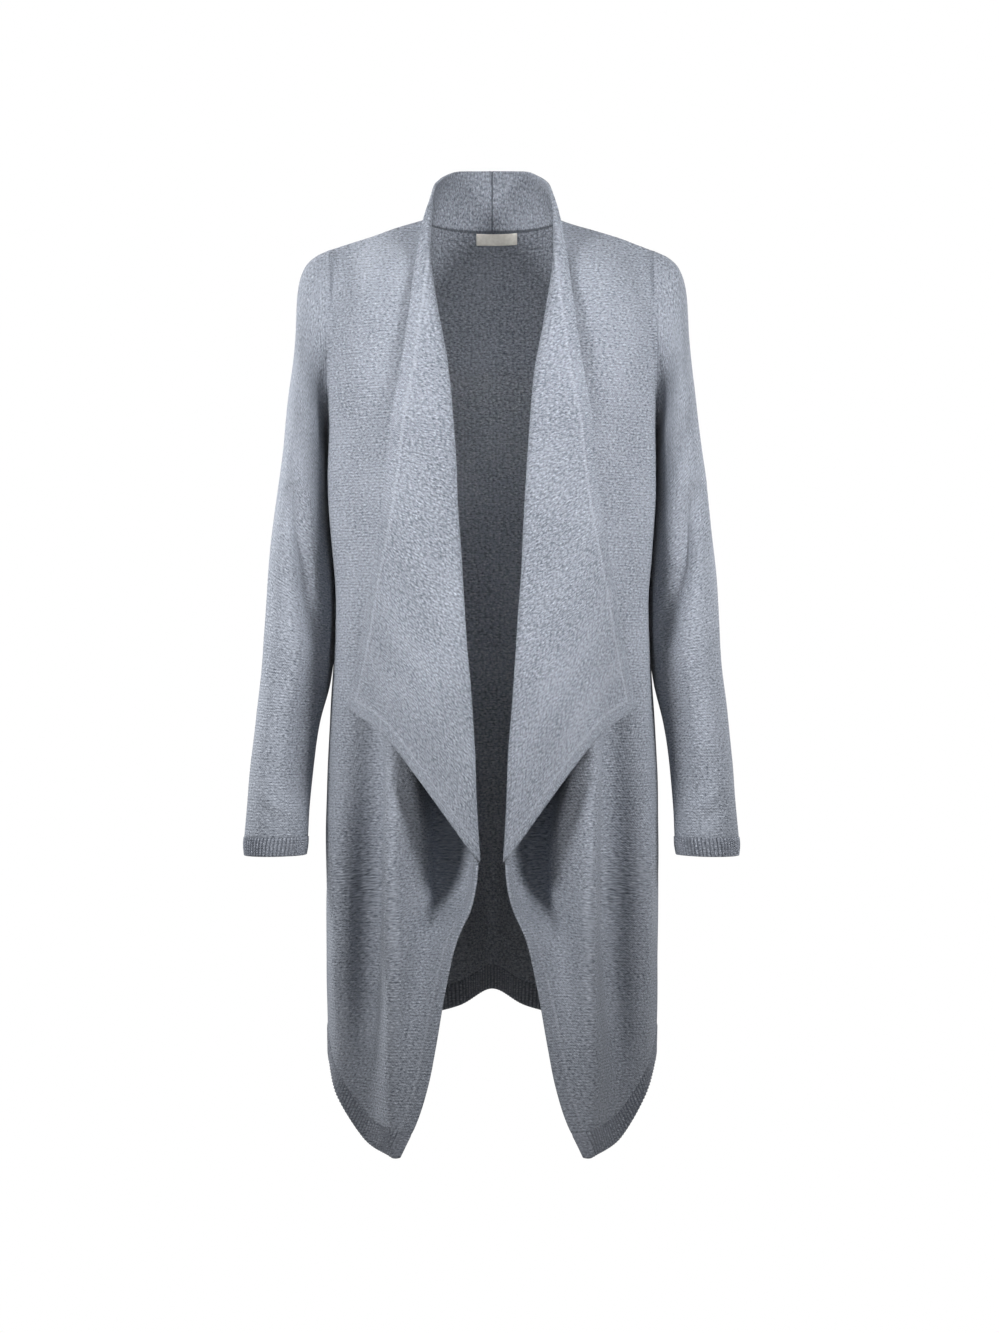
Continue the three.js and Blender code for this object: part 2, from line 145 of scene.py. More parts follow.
# Collar and lapel: place down the strip (centre back -1, high point of the shoulder 0, lapel end 2), then its
# roll, its middle and its free edge, each as x, y and z
lapelRows = np.array([
    [-1, 0, 65, 15, 0, 70, 40, 0, 75, 65],
    [-0.67, 35, 58, 16, 35, 65, 40, 33, 70, 64],
    [-0.33, 60, 39, 16, 56.5, 42, 37, 50, 46, 55],
    [0, 68.5, 14, 16, 63, 14, 30, 59, 17, 43],
    [0.12, 65.5, -21, 3, 65.5, -26, 7.5, 70, -31, 4],
    [0.25, 65.5, -49, -34, 69.5, -56, -34, 76.5, -54, -38],
    [0.5, 56.5, -86, -104, 68, -99, -102, 84, -95, -100],
    [0.75, 45, -101, -168, 68, -114, -164, 92, -107, -160],
    [1, 40, -107, -225, 72, -119, -220, 102.5, -110, -216],
    [1.25, 33, -107, -336, 78, -115, -316, 111.5, -104, -300],
    [1.5, 26, -108, -447, 86, -112, -412, 124, -92, -377],
    [1.75, 18, -113, -558, 94, -112, -488, 136, -80, -449],
    [2, 13.5, -121, -669, 103, -113, -549, 150, -66, -514],
])
# Rings of the sleeve: outermost x and z, innermost x and z, middle depth, half depth, and how far the front
# leans to the body
sleeveRows = np.array([
    [172, -31, 173, -225, 2, 50, 0],
    [187, -38, 176.3, -229.5, 2, 53, 0],
    [198, -50, 175.8, -236, 2, 55, -1],
    [204.3, -75, 173.4, -246, 1, 57, -3],
    [207, -125, 170, -262, 0, 60, -6],
    [212.8, -176, 167.5, -285, 0, 61, -9],
    [218.2, -227, 165.5, -312, 0, 61, -11],
    [224.6, -278, 163.5, -345, -1, 59, -12],
    [231, -328, 162.5, -380, -3, 56, -12],
    [235.7, -379, 163, -415, -6, 52, -11],
    [238.2, -430, 165.5, -450, -9, 49, -9],
    [241.7, -478, 172, -488, -12, 46, -6],
    [247.3, -525, 182, -528, -16, 43, -3],
    [252.5, -571, 189, -573, -20, 41, 0],
    [256, -616, 192.5, -616, -24, 39, 1],
    [258.5, -650, 194, -649, -26, 37.5, 2],
])
cuffRows = np.array([
    [258.5, -650, 194, -649, -26, 37.5, 2],
    [259, -659, 194.5, -658.5, -26.5, 36.5, 1],
    [258, -668.5, 196, -667.5, -27, 35, 0],
])


def smoothRows(rows, where, calm=False):
    # Cubic through rows sorted by their first column. The slope at a row is the mean of the two chords beside
    # it, or with calm their harmonic mean, 0 where they differ in sign, which never swings past a row.
    rows = np.asarray(rows, float)
    if rows[0, 0] > rows[-1, 0]:
        rows = rows[::-1]
    chord = np.diff(rows[:, 1:], axis=0) / np.diff(rows[:, :1], axis=0)
    slope = (chord[:-1] + chord[1:]) / 2
    if calm:
        product = chord[:-1] * chord[1:]
        slope = np.where(product > 0, 2 * product / np.where(product > 0, chord[:-1] + chord[1:], 1), 0)
    slope = np.vstack([chord[:1], slope, chord[-1:]])
    i = np.clip(np.searchsorted(rows[:, 0], where, side="right") - 1, 0, len(rows) - 2)
    step = rows[i + 1, 0] - rows[i, 0]
    t = np.clip((where - rows[i, 0]) / step, 0, 1)[..., None]
    step = step[..., None]
    rest = 1 - t
    return (rest**2 * ((1 + 2 * t) * rows[i, 1:] + t * step * slope[i])
            + t**2 * ((3 - 2 * t) * rows[i + 1, 1:] - rest * step * slope[i + 1]))


def through(points, place):
    # Catmull-Rom curve through points (k, n, 3) at places (m) counted in points; gives (n, m, 3).
    last = len(points) - 1
    i = np.minimum(place.astype(int), last - 1)
    t = (place - i)[None, :, None]
    p = [points[np.clip(i + k, 0, last)].transpose(1, 0, 2) for k in (-1, 0, 1, 2)]
    slopeFrom, slopeTo = (p[2] - p[0]) / 2, (p[3] - p[1]) / 2
    rest = 1 - t
    return rest**2 * ((1 + 2 * t) * p[1] + t * slopeFrom) + t**2 * ((3 - 2 * t) * p[2] - rest * slopeTo)


def sideMirror(side):
    # Factor for points, which mirrors them when the side is -1
    return np.array([side, 1, 1])


def smoothStep(value, low, high):
    # 0 at low, 1 at high, and three t squared less two t cubed between them
    t = np.clip((value - low) / (high - low), 0, 1)
    return t * t * (3 - 2 * t)


def bell(distance, middle, width):
    # Falls off on both sides of middle, by e to the minus square of the distance in widths
    return np.exp(-((distance - middle) / width) ** 2)


def shoulderSeam(u):
    # Straight in x and z from the armhole (u 0) to the neck (u 1), with y growing by the square of u.
    x = body["shoulderHalf"] + (body["neckHalf"] - body["shoulderHalf"]) * u
    y = armhole["middleY"] + (body["neckY"] - armhole["middleY"]) * u**2
    return np.stack([x, y, body["neckZ"] - body["shoulderDrop"] * (1 - u)], -1)


def neckSeam(u):
    # Quarter ellipse from the high point of the shoulder (u 0) to the centre back (u 1).
    turn = u * math.pi / 2
    y = body["neckY"] + (body["backNeckY"] - body["neckY"]) * np.sin(turn)
    z = body["neckZ"] + (body["backNeckZ"] - body["neckZ"]) * np.sin(turn)
    return np.stack([body["neckHalf"] * np.cos(turn), y, z], -1)


def ringPoints(rows, turn):
    # Rings (n, 7) at turns (m): half width times cosine across, half depth times sine, leaning by the sine.
    outX, outZ, inX, inZ, middleY, depth, lean = (rows[:, k, None] for k in range(7))
    half = (outX - inX) / 2
    upright = np.sign(half) * np.sqrt(np.maximum(half**2 - lean**2, 0))
    cos, sin = np.cos(turn)[None], np.sin(turn)[None]
    x = (outX + inX) / 2 + upright * cos - lean * sin
    return np.stack([x, middleY - depth * sin, (outZ + inZ) / 2 + (outZ - inZ) / 2 * cos], -1)


def linePoints(line, top, level):
    # Points of a named line at levels: heights run evenly between its levels, x and y follow its own curve.
    z = np.interp(level, range(len(line["levels"]) + 1), [top[2]] + line["levels"])
    rows = [[top[2], top[0], top[1]]] + line["path"]
    return np.concatenate([smoothRows(rows, z), z[:, None]], 1)


armholeRing = np.array([[armhole[k] for k in ("outX", "top", "inX", "bottom", "middleY", "depth")] + [0]])


def sidePoints(level, side):
    # Half the armhole ring down to level 1, then the side seam, its heights even between its levels.
    ring = ringPoints(armholeRing, side * math.pi * np.clip(level, 0, 1))
    z = np.interp(np.maximum(level, 1), range(1, 5), sideLine["levels"])
    rows = [[armhole["bottom"], armhole["inX"], armhole["middleY"]]] + sideLine["path"]
    return np.where(level[:, None] < 1, ring[0], np.column_stack([smoothRows(rows, z), z]))


def panelPoints(lines, tops, seamTop, side, level, place, mirrorEnd=False):
    # Curves across the named lines at each level. What they miss of the exact top seam is added, times a
    # share that falls by the square over the first tenth of a level. mirrorEnd carries the curve past the
    # centre line.
    points = [sidePoints(level, side)]
    points += [linePoints(line, top, level) for line, top in zip(lines[1:], tops[1:])]
    if mirrorEnd:
        points.append(points[-2] * sideMirror(-1))
        tops = tops + [tops[-2] * sideMirror(-1)]
    atTop = through(np.array([[top] for top in tops]), place)
    share = np.clip(1 - level / body["topEase"], 0, 1)[:, None, None] ** 2
    return through(np.array(points), place) + share * (seamTop[None] - atTop)


# Where the front's lines meet the shoulder seam, as shares of the way from the armhole to the neck
frontShare = [0, 1 / 6, 1 / 3, 1 / 2, 3 / 4, 1]


def frontPoints(level, place):
    # From the side (place 0) to the roll of the lapel (place 5), hung from the shoulder seam.
    tops = [shoulderSeam(np.array(u)) for u in frontShare]
    seamTop = shoulderSeam(np.interp(place, range(6), frontShare))
    return panelPoints(frontLines, tops, seamTop, 1, level, place)


def backTop(place):
    # The shoulder seam over three places, then half the neck seam over two.
    return np.where(place[..., None] <= 3, shoulderSeam(place / 3), neckSeam(np.maximum(place - 3, 0) / 2))


def backPoints(level, place):
    # From the side (place 0) to the centre of the back (place 5), hung from the shoulder and neck seams.
    tops = [backTop(np.array(float(k))) for k in range(6)]
    return panelPoints(backLines, tops, backTop(place), -1, level, place, mirrorEnd=True)


# Just past the roll: how far it has gone towards the middle on the collar, how much less on the lapel, and
# how far the lapel bulges forward there
turnOver = dict(collarShare=0.5, lapelLess=0.35, bulge=7)


def stripPoints(at, place):
    # Collar and lapel: base on the neck seam or the front's roll, then roll, turned front, middle and free
    # edge.
    roundNeck = neckSeam(np.clip(-at, 0, 1))
    downFront = frontPoints(np.maximum(at, 0), np.array([5.0]))[:, 0]
    base = np.where(at[:, None] <= 0, roundNeck, downFront)
    rows = smoothRows(lapelRows, at, calm=True)
    roll, middle, edge = rows[:, 0:3], rows[:, 3:6], rows[:, 6:9]
    turned = np.clip(at * 2, 0, 1)[:, None]
    share = turnOver["collarShare"] - turnOver["lapelLess"] * turned
    front = roll + (middle - roll) * share - turned * np.array([0, turnOver["bulge"], 0])
    return through(np.array([base, roll, front, middle, edge]), place)


def placesBetween(cells):
    # Even places in each interval, cut into its number of cells.
    return np.concatenate([k + np.arange(n) / n for k, n in enumerate(cells)] + [[len(cells)]])


print("cut worked out")

# Cloth as a closed wall. farOff stands for no edge or seam near by, and ditchWidth is how far the seams' painted
# shade reaches.
cloth = dict(
    thickness=2.3, seamInset=0.9, insetMost=0.6, bandWidth=13, bandLift=0.25, ditchWidth=1.3, farOff=900.0,
)


def normalsOf(points, quads):
    # Mean direction of the quads that meet at each point
    a, b, c, d = (points[quads[:, k]] for k in range(4))
    cross = np.cross(c - a, d - b)
    total = np.zeros_like(points)
    for k in range(4):
        np.add.at(total, quads[:, k], cross)
    return total / np.maximum(np.linalg.norm(total, axis=1, keepdims=True), 1e-12)


def gridQuads(rows, columns, mask=None, wrap=False, flip=False):
    # Quads of a grid as point numbers, and the grid corners that each one covers, which its UVs need
    r, c = np.meshgrid(np.arange(rows - 1), np.arange(columns if wrap else columns - 1), indexing="ij")
    if mask is not None:
        r, c = r[mask], c[mask]
    r, c = r.ravel(), c.ravel()
    corners = np.stack([np.stack([r, c], 1), np.stack([r, c + 1], 1), np.stack([r + 1, c + 1], 1),
                        np.stack([r + 1, c], 1)], 1)
    if flip:
        corners = corners[:, ::-1]
    return corners[:, :, 0] * columns + corners[:, :, 1] % columns, corners


def freeEdges(quads):
    # Directed edges of the quads whose reverse isn't there
    a = quads.ravel()
    b = np.roll(quads, -1, axis=1).ravel()
    n = int(quads.max()) + 1
    lone = ~np.isin(a.astype(np.int64) * n + b, b.astype(np.int64) * n + a)
    return a[lone], b[lone]


# Each side is cut from another place of the cloth, in mm of its flat map, so neither mirrors the other
clothOffset = {1: (0, 0), -1: (517, 233)}


def clothWall(name, grid, uv, materials, mask=None, wrap=False, flip=False, lift=0, relief=0, fromEdge=None,
              fromSeam=None, thickness=None):
    # Both faces lie half a thickness from the middle surface, with their relief, and a half circle rounds
    # each edge. lift moves the whole wall along its normal, and relief thickens it. Faces take the materials
    # outer, inner and rim.
    half = (thickness or cloth["thickness"]) / 2
    rows, columns = grid.shape[:2]
    quads, corners = gridQuads(rows, columns, mask, wrap, flip)
    points = grid.reshape(-1, 3)
    normal = normalsOf(points, quads)
    if callable(lift):
        lift = lift(points, normal)
    points = points + normal * np.broadcast_to(lift, len(points))[:, None]
    normal = normalsOf(points, quads)
    thick = (half + np.broadcast_to(relief, len(points)))[:, None]
    outer = points + normal * thick
    inner = points - normal * thick
    a, b = freeEdges(quads)
    side = np.cross(points[b] - points[a], normal[a] + normal[b])
    side /= np.maximum(np.linalg.norm(side, axis=1, keepdims=True), 1e-12)
    outward = np.zeros_like(points)
    np.add.at(outward, a, side)
    np.add.at(outward, b, side)
    outward /= np.maximum(np.linalg.norm(outward, axis=1, keepdims=True), 1e-12)
    rim = np.unique(np.concatenate([a, b]))
    rimIndex = np.full(len(points), -1)
    rimIndex[rim] = np.arange(len(rim))
    n = len(points)
    loops = [outer[rim] * 0.5 * (1 + math.cos(t)) + inner[rim] * 0.5 * (1 - math.cos(t))
             + outward[rim] * half * math.sin(t) for t in (math.pi / 4, math.pi / 2, 3 * math.pi / 4)]
    vertices = np.concatenate([outer, inner] + loops)
    ringA = [a] + [2 * n + k * len(rim) + rimIndex[a] for k in range(3)] + [n + a]
    ringB = [b] + [2 * n + k * len(rim) + rimIndex[b] for k in range(3)] + [n + b]
    rimQuads = [np.stack([ringB[k], ringA[k], ringA[k + 1], ringB[k + 1]], 1) for k in range(4)]
    faces = np.concatenate([quads, quads[:, ::-1] + n] + rimQuads)
    uv = uv + clothOffset[1 if points[quads[0, 0], 0] > 0 else -1]
    cornerUv = uv[corners[:, :, 0], corners[:, :, 1]]
    rimUv = uv[:, :columns].reshape(-1, 2)[np.stack([b, a, a, b], 1)]
    faceUv = np.concatenate([cornerUv, cornerUv[:, ::-1]] + [rimUv] * 4)
    kinds = np.repeat([0, 1, min(2, len(materials) - 1)], [len(quads), len(quads), 4 * len(a)])
    distances = {}
    for kind, given in (("fromEdge", fromEdge), ("fromSeam", fromSeam)):
        distance = np.full(len(points), cloth["farOff"]) if given is None else given.ravel()
        distances[kind] = np.concatenate([distance, distance] + [distance[rim]] * 3)
    used = np.unique(faces)
    newIndex = np.zeros(len(vertices), int)
    newIndex[used] = np.arange(len(used))
    distances = {kind: distance[used] * toMetres for kind, distance in distances.items()}
    vertices = vertices[used] * toMetres
    return makeMesh(name, vertices, newIndex[faces], faceUv * toMetres, kinds, distances, materials)


def makeMesh(name, vertices, faces, faceUv, kinds, distances, materials):
    # Quads with the cloth's flat map and the distances that its material reads
    mesh = bpy.data.meshes.new(name)
    mesh.vertices.add(len(vertices))
    mesh.vertices.foreach_set("co", vertices.astype(np.float32).ravel())
    mesh.loops.add(faces.size)
    mesh.loops.foreach_set("vertex_index", faces.astype(np.int32).ravel())
    mesh.polygons.add(len(faces))
    mesh.polygons.foreach_set("loop_start", np.arange(0, faces.size, 4, dtype=np.int32))
    mesh.polygons.foreach_set("material_index", kinds.astype(np.int32))
    mesh.polygons.foreach_set("use_smooth", np.ones(len(faces), bool))
    layer = mesh.uv_layers.new(name="knitUv")
    layer.data.foreach_set("uv", faceUv.astype(np.float32).ravel())
    for kind, distance in distances.items():
        mesh.attributes.new(kind, "FLOAT", "POINT").data.foreach_set("value", distance.astype(np.float32))
    for material in materials:
        mesh.materials.append(material)
    mesh.update(calc_edges=True)
    piece = bpy.data.objects.new(name, mesh)
    bpy.context.scene.collection.objects.link(piece)
    return piece


def inset(grid, *places):
    # Draws the named border rows or columns of a grid back from their seam, towards the next row
    for index, nextIndex in places:
        step = grid[nextIndex] - grid[index]
        size = np.linalg.norm(step, axis=-1, keepdims=True)
        share = np.minimum(cloth["seamInset"] / np.maximum(size, 1e-9), cloth["insetMost"])
        grid[index] = grid[index] + step * share
    return grid


firstRow, lastRow = (np.s_[0], np.s_[1]), (np.s_[-1], np.s_[-2])
firstColumn, lastColumn = (np.s_[:, 0], np.s_[:, 1]), (np.s_[:, -1], np.s_[:, -2])


def runAlong(grid, axis):
    # Distance along the rows (axis 1) or columns (axis 0) of a grid, from its first one
    steps = np.linalg.norm(np.diff(grid, axis=axis), axis=-1)
    start = np.zeros_like(np.take(steps, [0], axis=axis))
    return np.concatenate([start, np.cumsum(steps, axis=axis)], axis=axis)


# Folds: soft troughs (below 0) and ridges along lines in x and z, each with its height and width. A fold
# shows where its wall faces front or back, and tapers at its ends.
fold = dict(facing=2, taper=0.7, offX=3, offZ=7, heights=(0.75, 1.2), widths=(0.9, 1.15))


def foldLift(points, normal, marks, facing):
    # Sum over the marks of height, times e to the minus square of the distance to the line in widths, times a
    # power of the sine of the way along the line
    lift = np.zeros(len(points))
    toViewer = np.clip(normal[:, 1] * facing * fold["facing"], 0, 1)
    for path, height, width in marks:
        path = np.array(path, float)
        start, run = path[:-1], np.diff(path, axis=0)
        length = np.linalg.norm(run, axis=1)
        soFar = np.concatenate([[0], np.cumsum(length)])
        offset = points[:, None, [0, 2]] - start
        share = np.clip((offset * run).sum(-1) / length**2, 0, 1)
        gap = np.linalg.norm(offset - share[..., None] * run, axis=-1)
        nearest = gap.argmin(1)
        each = np.arange(len(points))
        along = (soFar[nearest] + share[each, nearest] * length[nearest]) / soFar[-1]
        lift += height * toViewer * bell(gap.min(1), 0, width) * np.sin(np.pi * along) ** fold["taper"]
    return lift


def uneven(marks, side, seed):
    # Marks as the left side (side 1) or right side (side -1) has them, each a little off its twin
    chance = np.random.default_rng(seed)
    own = []
    for path, height, width in marks:
        moved = [[side * (x + chance.uniform(-fold["offX"], fold["offX"])),
                  z + chance.uniform(-fold["offZ"], fold["offZ"])] for x, z in path]
        own.append((moved, height * chance.uniform(*fold["heights"]), width * chance.uniform(*fold["widths"])))
    return own


ripple = dict(height=0.42, shortest=38, longest=130, uprightness=0.38, waves=26, seed=7)


def rippleLift(points, normal=None):
    # Hand of hanging knitwear: a sum of many faint sine waves, mostly upright, over the root of half their
    # number.
    # It is the same field for all pieces, so that seams meet.
    chance = np.random.default_rng(ripple["seed"])
    direction = chance.normal(size=(ripple["waves"], 3)) * [1, 1, ripple["uprightness"]]
    direction /= np.linalg.norm(direction, axis=1, keepdims=True)
    length = chance.uniform(ripple["shortest"], ripple["longest"], ripple["waves"])
    phase = chance.uniform(0, 2 * math.pi, ripple["waves"])
    waves = np.sin(points @ (direction * 2 * math.pi / length[:, None]).T + phase)
    return ripple["height"] * waves.sum(1) / math.sqrt(ripple["waves"] / 2)


print("cloth tools ready")

# Materials
# The dark fleck colour also paints shade in pits and rib furrows, the light fleck colour paints a highlight on
# the border's ridge, the seam colour is painted shade in the seams' ditches, and the label's two tints make
# painted sheen.
palette = dict(
    yarn="#81868f", fleckLightAndHighlight="#a2a7b1", fleckDarkAndShade="#4f545d", ribYarn="#7a7e87", labelYarn="#f3efe7",
    labelSheenDark="#e6e1d8", sheen="#c3c8d0", seamDitchShade="#34383f",
)
# Wool shared by all knits, sizes in mm: where yarns drift and courses break up, long patches of lighter wool,
# and how strongly the border's ridge shows, in relief and as a painted highlight, and how strongly each painted
# shade shows. Slopes are a factor and what is added to it, and pairs are where a change starts and ends.
wool = dict(
    driftSize=14, breakSize=1.6, breakStretch=(0.22, 0.9, 1), breaks=(0.3, 0.7), breakGain=(0.35, 1.25),
    grainRandomness=0.8, grainSlope=(-2.4, 0.9), fibreSlope=(3.0, -1.5), calmSlope=(0.45, -0.25),
    calmCourses=0.3, twistStretch=(0.55, 1, 1), light=(0.52, 0.72), dark=(0.48, 0.3), pitShade=(0.2, -1.1),
    patchSize=70, patch=(0.35, 0.75), patchShare=0.16, furrowShade=(0.1, -0.9), furrowShare=0.75, bandRidge=2.5,
    ridgeHeight=0.9, ridgeHighlight=0.15, ditchFloor=0.2, ditchShare=0.7, roughness=0.92,
    sheenRoughness=0.55, specular=0.2,
)


def linear(hexColour):
    # Each sRGB channel over its curve to linear light, with full alpha
    channels = [int(hexColour[k:k + 2], 16) / 255 for k in (1, 3, 5)]
    return [c / 12.92 if c <= 0.04045 else ((c + 0.055) / 1.055) ** 2.4 for c in channels] + [1]


def addNode(tree, kind, inputs=None, output=0, **settings):
    # One shader node with its settings. An input takes a value or another node's output, and one output comes
    # back.
    node = tree.nodes.new("ShaderNode" + kind)
    for name, value in settings.items():
        setattr(node, name, value)
    for socket, value in (inputs or {}).items():
        if isinstance(value, bpy.types.NodeSocket):
            tree.links.new(value, node.inputs[socket])
        else:
            node.inputs[socket].default_value = value
    return node.outputs[output] if node.outputs else node


def newMaterial(name):
    # An empty material, its node adder, and the cloth's own flat map in millimetres
    material = bpy.data.materials.new(name)
    material.use_nodes = True
    material.node_tree.nodes.clear()
    add = functools.partial(addNode, material.node_tree)
    flat = add("VectorMath", {0: add("UVMap", uv_map="knitUv"), 1: (1000, 1000, 1000)}, operation="MULTIPLY")
    return material, add, flat


smooth = dict(interpolation_type="SMOOTHSTEP")


def knitMaterial(name, look):
    # Height is courses, grain and fibre, each times its strength and calmer on the border, plus its ridge.
    # Colour is the yarn mixed in turn with light and dark flecks, painted shade in pits and rib furrows, patches,
    # a painted highlight on the ridge and painted shade in the seams' ditches.
    material, add, flat = newMaterial(name)
    drift = add("TexNoise", {"Vector": flat, "Scale": 1 / wool["driftSize"], "Detail": 1.0}, output="Color")
    drift = add("VectorMath", {0: drift, 1: (0.5, 0.5, 0.5)}, operation="SUBTRACT")
    drift = add("VectorMath", {0: drift, 1: (look["drift"],) * 3}, operation="MULTIPLY")
    knit = add("VectorMath", {0: flat, 1: drift}, operation="ADD")
    across = add("SeparateXYZ", {0: knit})
    down = across.node.outputs[1]

    # Border and seams, from the distances that the mesh carries in metres
    band = cloth["bandWidth"]
    edge = add("Attribute", output="Fac", attribute_name="fromEdge")
    edge = add("Math", {0: edge, 1: 1000.0}, operation="MULTIPLY")
    body = add("MapRange", {"Value": edge, "From Min": band - 1, "From Max": band + 1}, **smooth)
    rise = add("MapRange", {"Value": edge, "From Min": band - wool["bandRidge"], "From Max": band}, **smooth)
    fall = add("MapRange", {"Value": edge, "From Min": band, "From Max": band + wool["bandRidge"],
                            "To Min": 1.0, "To Max": 0.0}, **smooth)
    ridge = add("Math", {0: rise, 1: fall}, operation="MULTIPLY")
    # Painted shade in the seams' ditches, darkest at the seam
    seam = add("Attribute", output="Fac", attribute_name="fromSeam")
    seam = add("Math", {0: seam, 1: 1000.0}, operation="MULTIPLY")
    ditchShade = add("MapRange", {"Value": seam, "From Min": cloth["ditchWidth"], "From Max": wool["ditchFloor"],
                             "To Max": wool["ditchShare"]}, **smooth)

    # Loops: each wale is a chevron, so the course wave moves along with the distance from the wale's middle
    wales = add("Math", {0: across, 1: look["wale"]}, operation="DIVIDE")
    arm = add("Math", {0: wales, 1: 0.5}, operation="PINGPONG")
    wave = add("Math", {0: down, 1: look["course"]}, operation="DIVIDE")
    wave = add("Math", {0: arm, 1: look["chevron"], 2: wave}, operation="MULTIPLY_ADD")
    wave = add("Math", {0: wave, 1: 2 * math.pi}, operation="MULTIPLY")
    courses = add("Math", {0: wave}, operation="SINE")
    breaks = add("VectorMath", {0: flat, 1: wool["breakStretch"]}, operation="MULTIPLY")
    breaks = add("TexNoise", {"Vector": breaks, "Scale": 1 / wool["breakSize"], "Detail": 2.0})
    breaks = add("MapRange", {"Value": breaks, "From Min": wool["breaks"][0], "From Max": wool["breaks"][1],
                              "To Min": wool["breakGain"][0], "To Max": wool["breakGain"][1]}, **smooth)
    courses = add("Math", {0: courses, 1: breaks}, operation="MULTIPLY")
    grain = add("TexVoronoi", {"Vector": flat, "Scale": 1 / look["grain"],
                               "Randomness": wool["grainRandomness"]}, output="Distance", voronoi_dimensions="2D")
    grain = add("Math", {0: grain, 1: wool["grainSlope"][0], 2: wool["grainSlope"][1]},
                operation="MULTIPLY_ADD")
    fibre = add("TexNoise", {"Vector": flat, "Scale": 1 / look["fibreSize"], "Detail": 3.0})
    fibre = add("Math", {0: fibre, 1: wool["fibreSlope"][0], 2: wool["fibreSlope"][1]},
                operation="MULTIPLY_ADD")
    loops = add("Math", {0: grain, 1: look["grains"]}, operation="MULTIPLY")
    loops = add("Math", {0: courses, 1: look["courses"], 2: loops}, operation="MULTIPLY_ADD")
    loops = add("Math", {0: fibre, 1: look["fibre"], 2: loops}, operation="MULTIPLY_ADD")
    calm = add("Math", {0: loops, 1: wool["calmSlope"][0], 2: wool["calmSlope"][1]}, operation="MULTIPLY_ADD")
    calm = add("Math", {0: courses, 1: wool["calmCourses"], 2: calm}, operation="MULTIPLY_ADD")
    height = add("Mix", {0: body, 2: calm, 3: loops})
    height = add("Math", {0: ridge, 1: wool["ridgeHeight"], 2: height}, operation="MULTIPLY_ADD")

    # Heather: light and dark fibres twisted into one yarn. The loops' low points get painted shade in the dark
    # fleck's colour.
    twist = add("VectorMath", {0: flat, 1: wool["twistStretch"]}, operation="MULTIPLY")
    twist = add("TexNoise", {"Vector": twist, "Scale": 1 / look["fleck"], "Detail": 2.0})
    patch = add("TexNoise", {"Vector": flat, "Scale": 1 / wool["patchSize"], "Detail": 1.0})
    light = add("MapRange", {"Value": twist, "From Min": wool["light"][0], "From Max": wool["light"][1]},
                **smooth)
    dark = add("MapRange", {"Value": twist, "From Min": wool["dark"][0], "From Max": wool["dark"][1]},
               **smooth)
    # Painted shade at the loops' low points, darker the lower they lie
    pitShade = add("MapRange", {"Value": height, "From Min": wool["pitShade"][0], "From Max": wool["pitShade"][1],
                           "To Max": look["pitShade"]}, **smooth)
    patch = add("MapRange", {"Value": patch, "From Min": wool["patch"][0], "From Max": wool["patch"][1],
                             "To Max": wool["patchShare"]}, **smooth)
    # Painted highlight along the crest of the border's ridge
    crestHighlight = add("Math", {0: ridge, 1: wool["ridgeHighlight"]}, operation="MULTIPLY")
    layers = [(light, "fleckLightAndHighlight"), (dark, "fleckDarkAndShade"), (pitShade, "fleckDarkAndShade"), (patch, "fleckLightAndHighlight"),
              (crestHighlight, "fleckLightAndHighlight"), (ditchShade, "seamDitchShade")]
    if look["ribPitch"]:
        # Painted shade in the rib's furrows between its columns
        column = add("Math", {0: across, 1: 2 * math.pi / look["ribPitch"]}, operation="MULTIPLY")
        column = add("Math", {0: column}, operation="COSINE")
        furrowShade = add("MapRange", {"Value": column, "From Min": wool["furrowShade"][0], "From Max": wool["furrowShade"][1],
                                  "To Max": wool["furrowShare"]}, **smooth)
        furrowShade = add("Math", {0: furrowShade, 1: body}, operation="MULTIPLY")
        layers.insert(3, (furrowShade, "fleckDarkAndShade"))
    yarn = linear(look["yarn"])
    for share, tone in layers:
        yarn = add("Mix", {0: share, 6: yarn, 7: linear(palette[tone])}, output=2, data_type="RGBA")
    bump = add("Bump", {"Height": height, "Strength": 1.0, "Distance": look["relief"] * toMetres})
    shader = add("BsdfPrincipled", {
        "Base Color": yarn, "Normal": bump, "Roughness": wool["roughness"], "Sheen Weight": look["nap"],
        "Sheen Roughness": wool["sheenRoughness"], "Sheen Tint": linear(palette["sheen"]),
        "Specular IOR Level": wool["specular"],
    })
    add("OutputMaterial", {"Surface": shader})
    return material


# In each look below, the pit share is how much painted shade the loops' low points get.
# Pitches and sizes in mm: wale and course are the loop's width and height, grain and fleck the size of one
# speck.
# They are as coarse as they need to be to show at about 1 mm a pixel. The real gauge isn't known.
# Face of the knit: fine courses that show as short level lines, a soft chevron and a little fuzz
faceLook = dict(
    wale=2.6, course=3.1, chevron=0.7, courses=0.5, grain=3.9, grains=0.45, fibre=0.6, fibreSize=2.4, fleck=1.7,
    relief=0.42, drift=2.2, pitShade=0.55, nap=0.12, yarn=palette["yarn"], ribPitch=0,
)
# Reverse of the knit, which lapels and collar show: round purl bumps in a moss grain, no clear lines
reverseLook = dict(
    faceLook, course=3.6, chevron=1.0, courses=0.05, grains=0.95, fibre=0.7, drift=5.5, relief=0.55, pitShade=0.6,
)
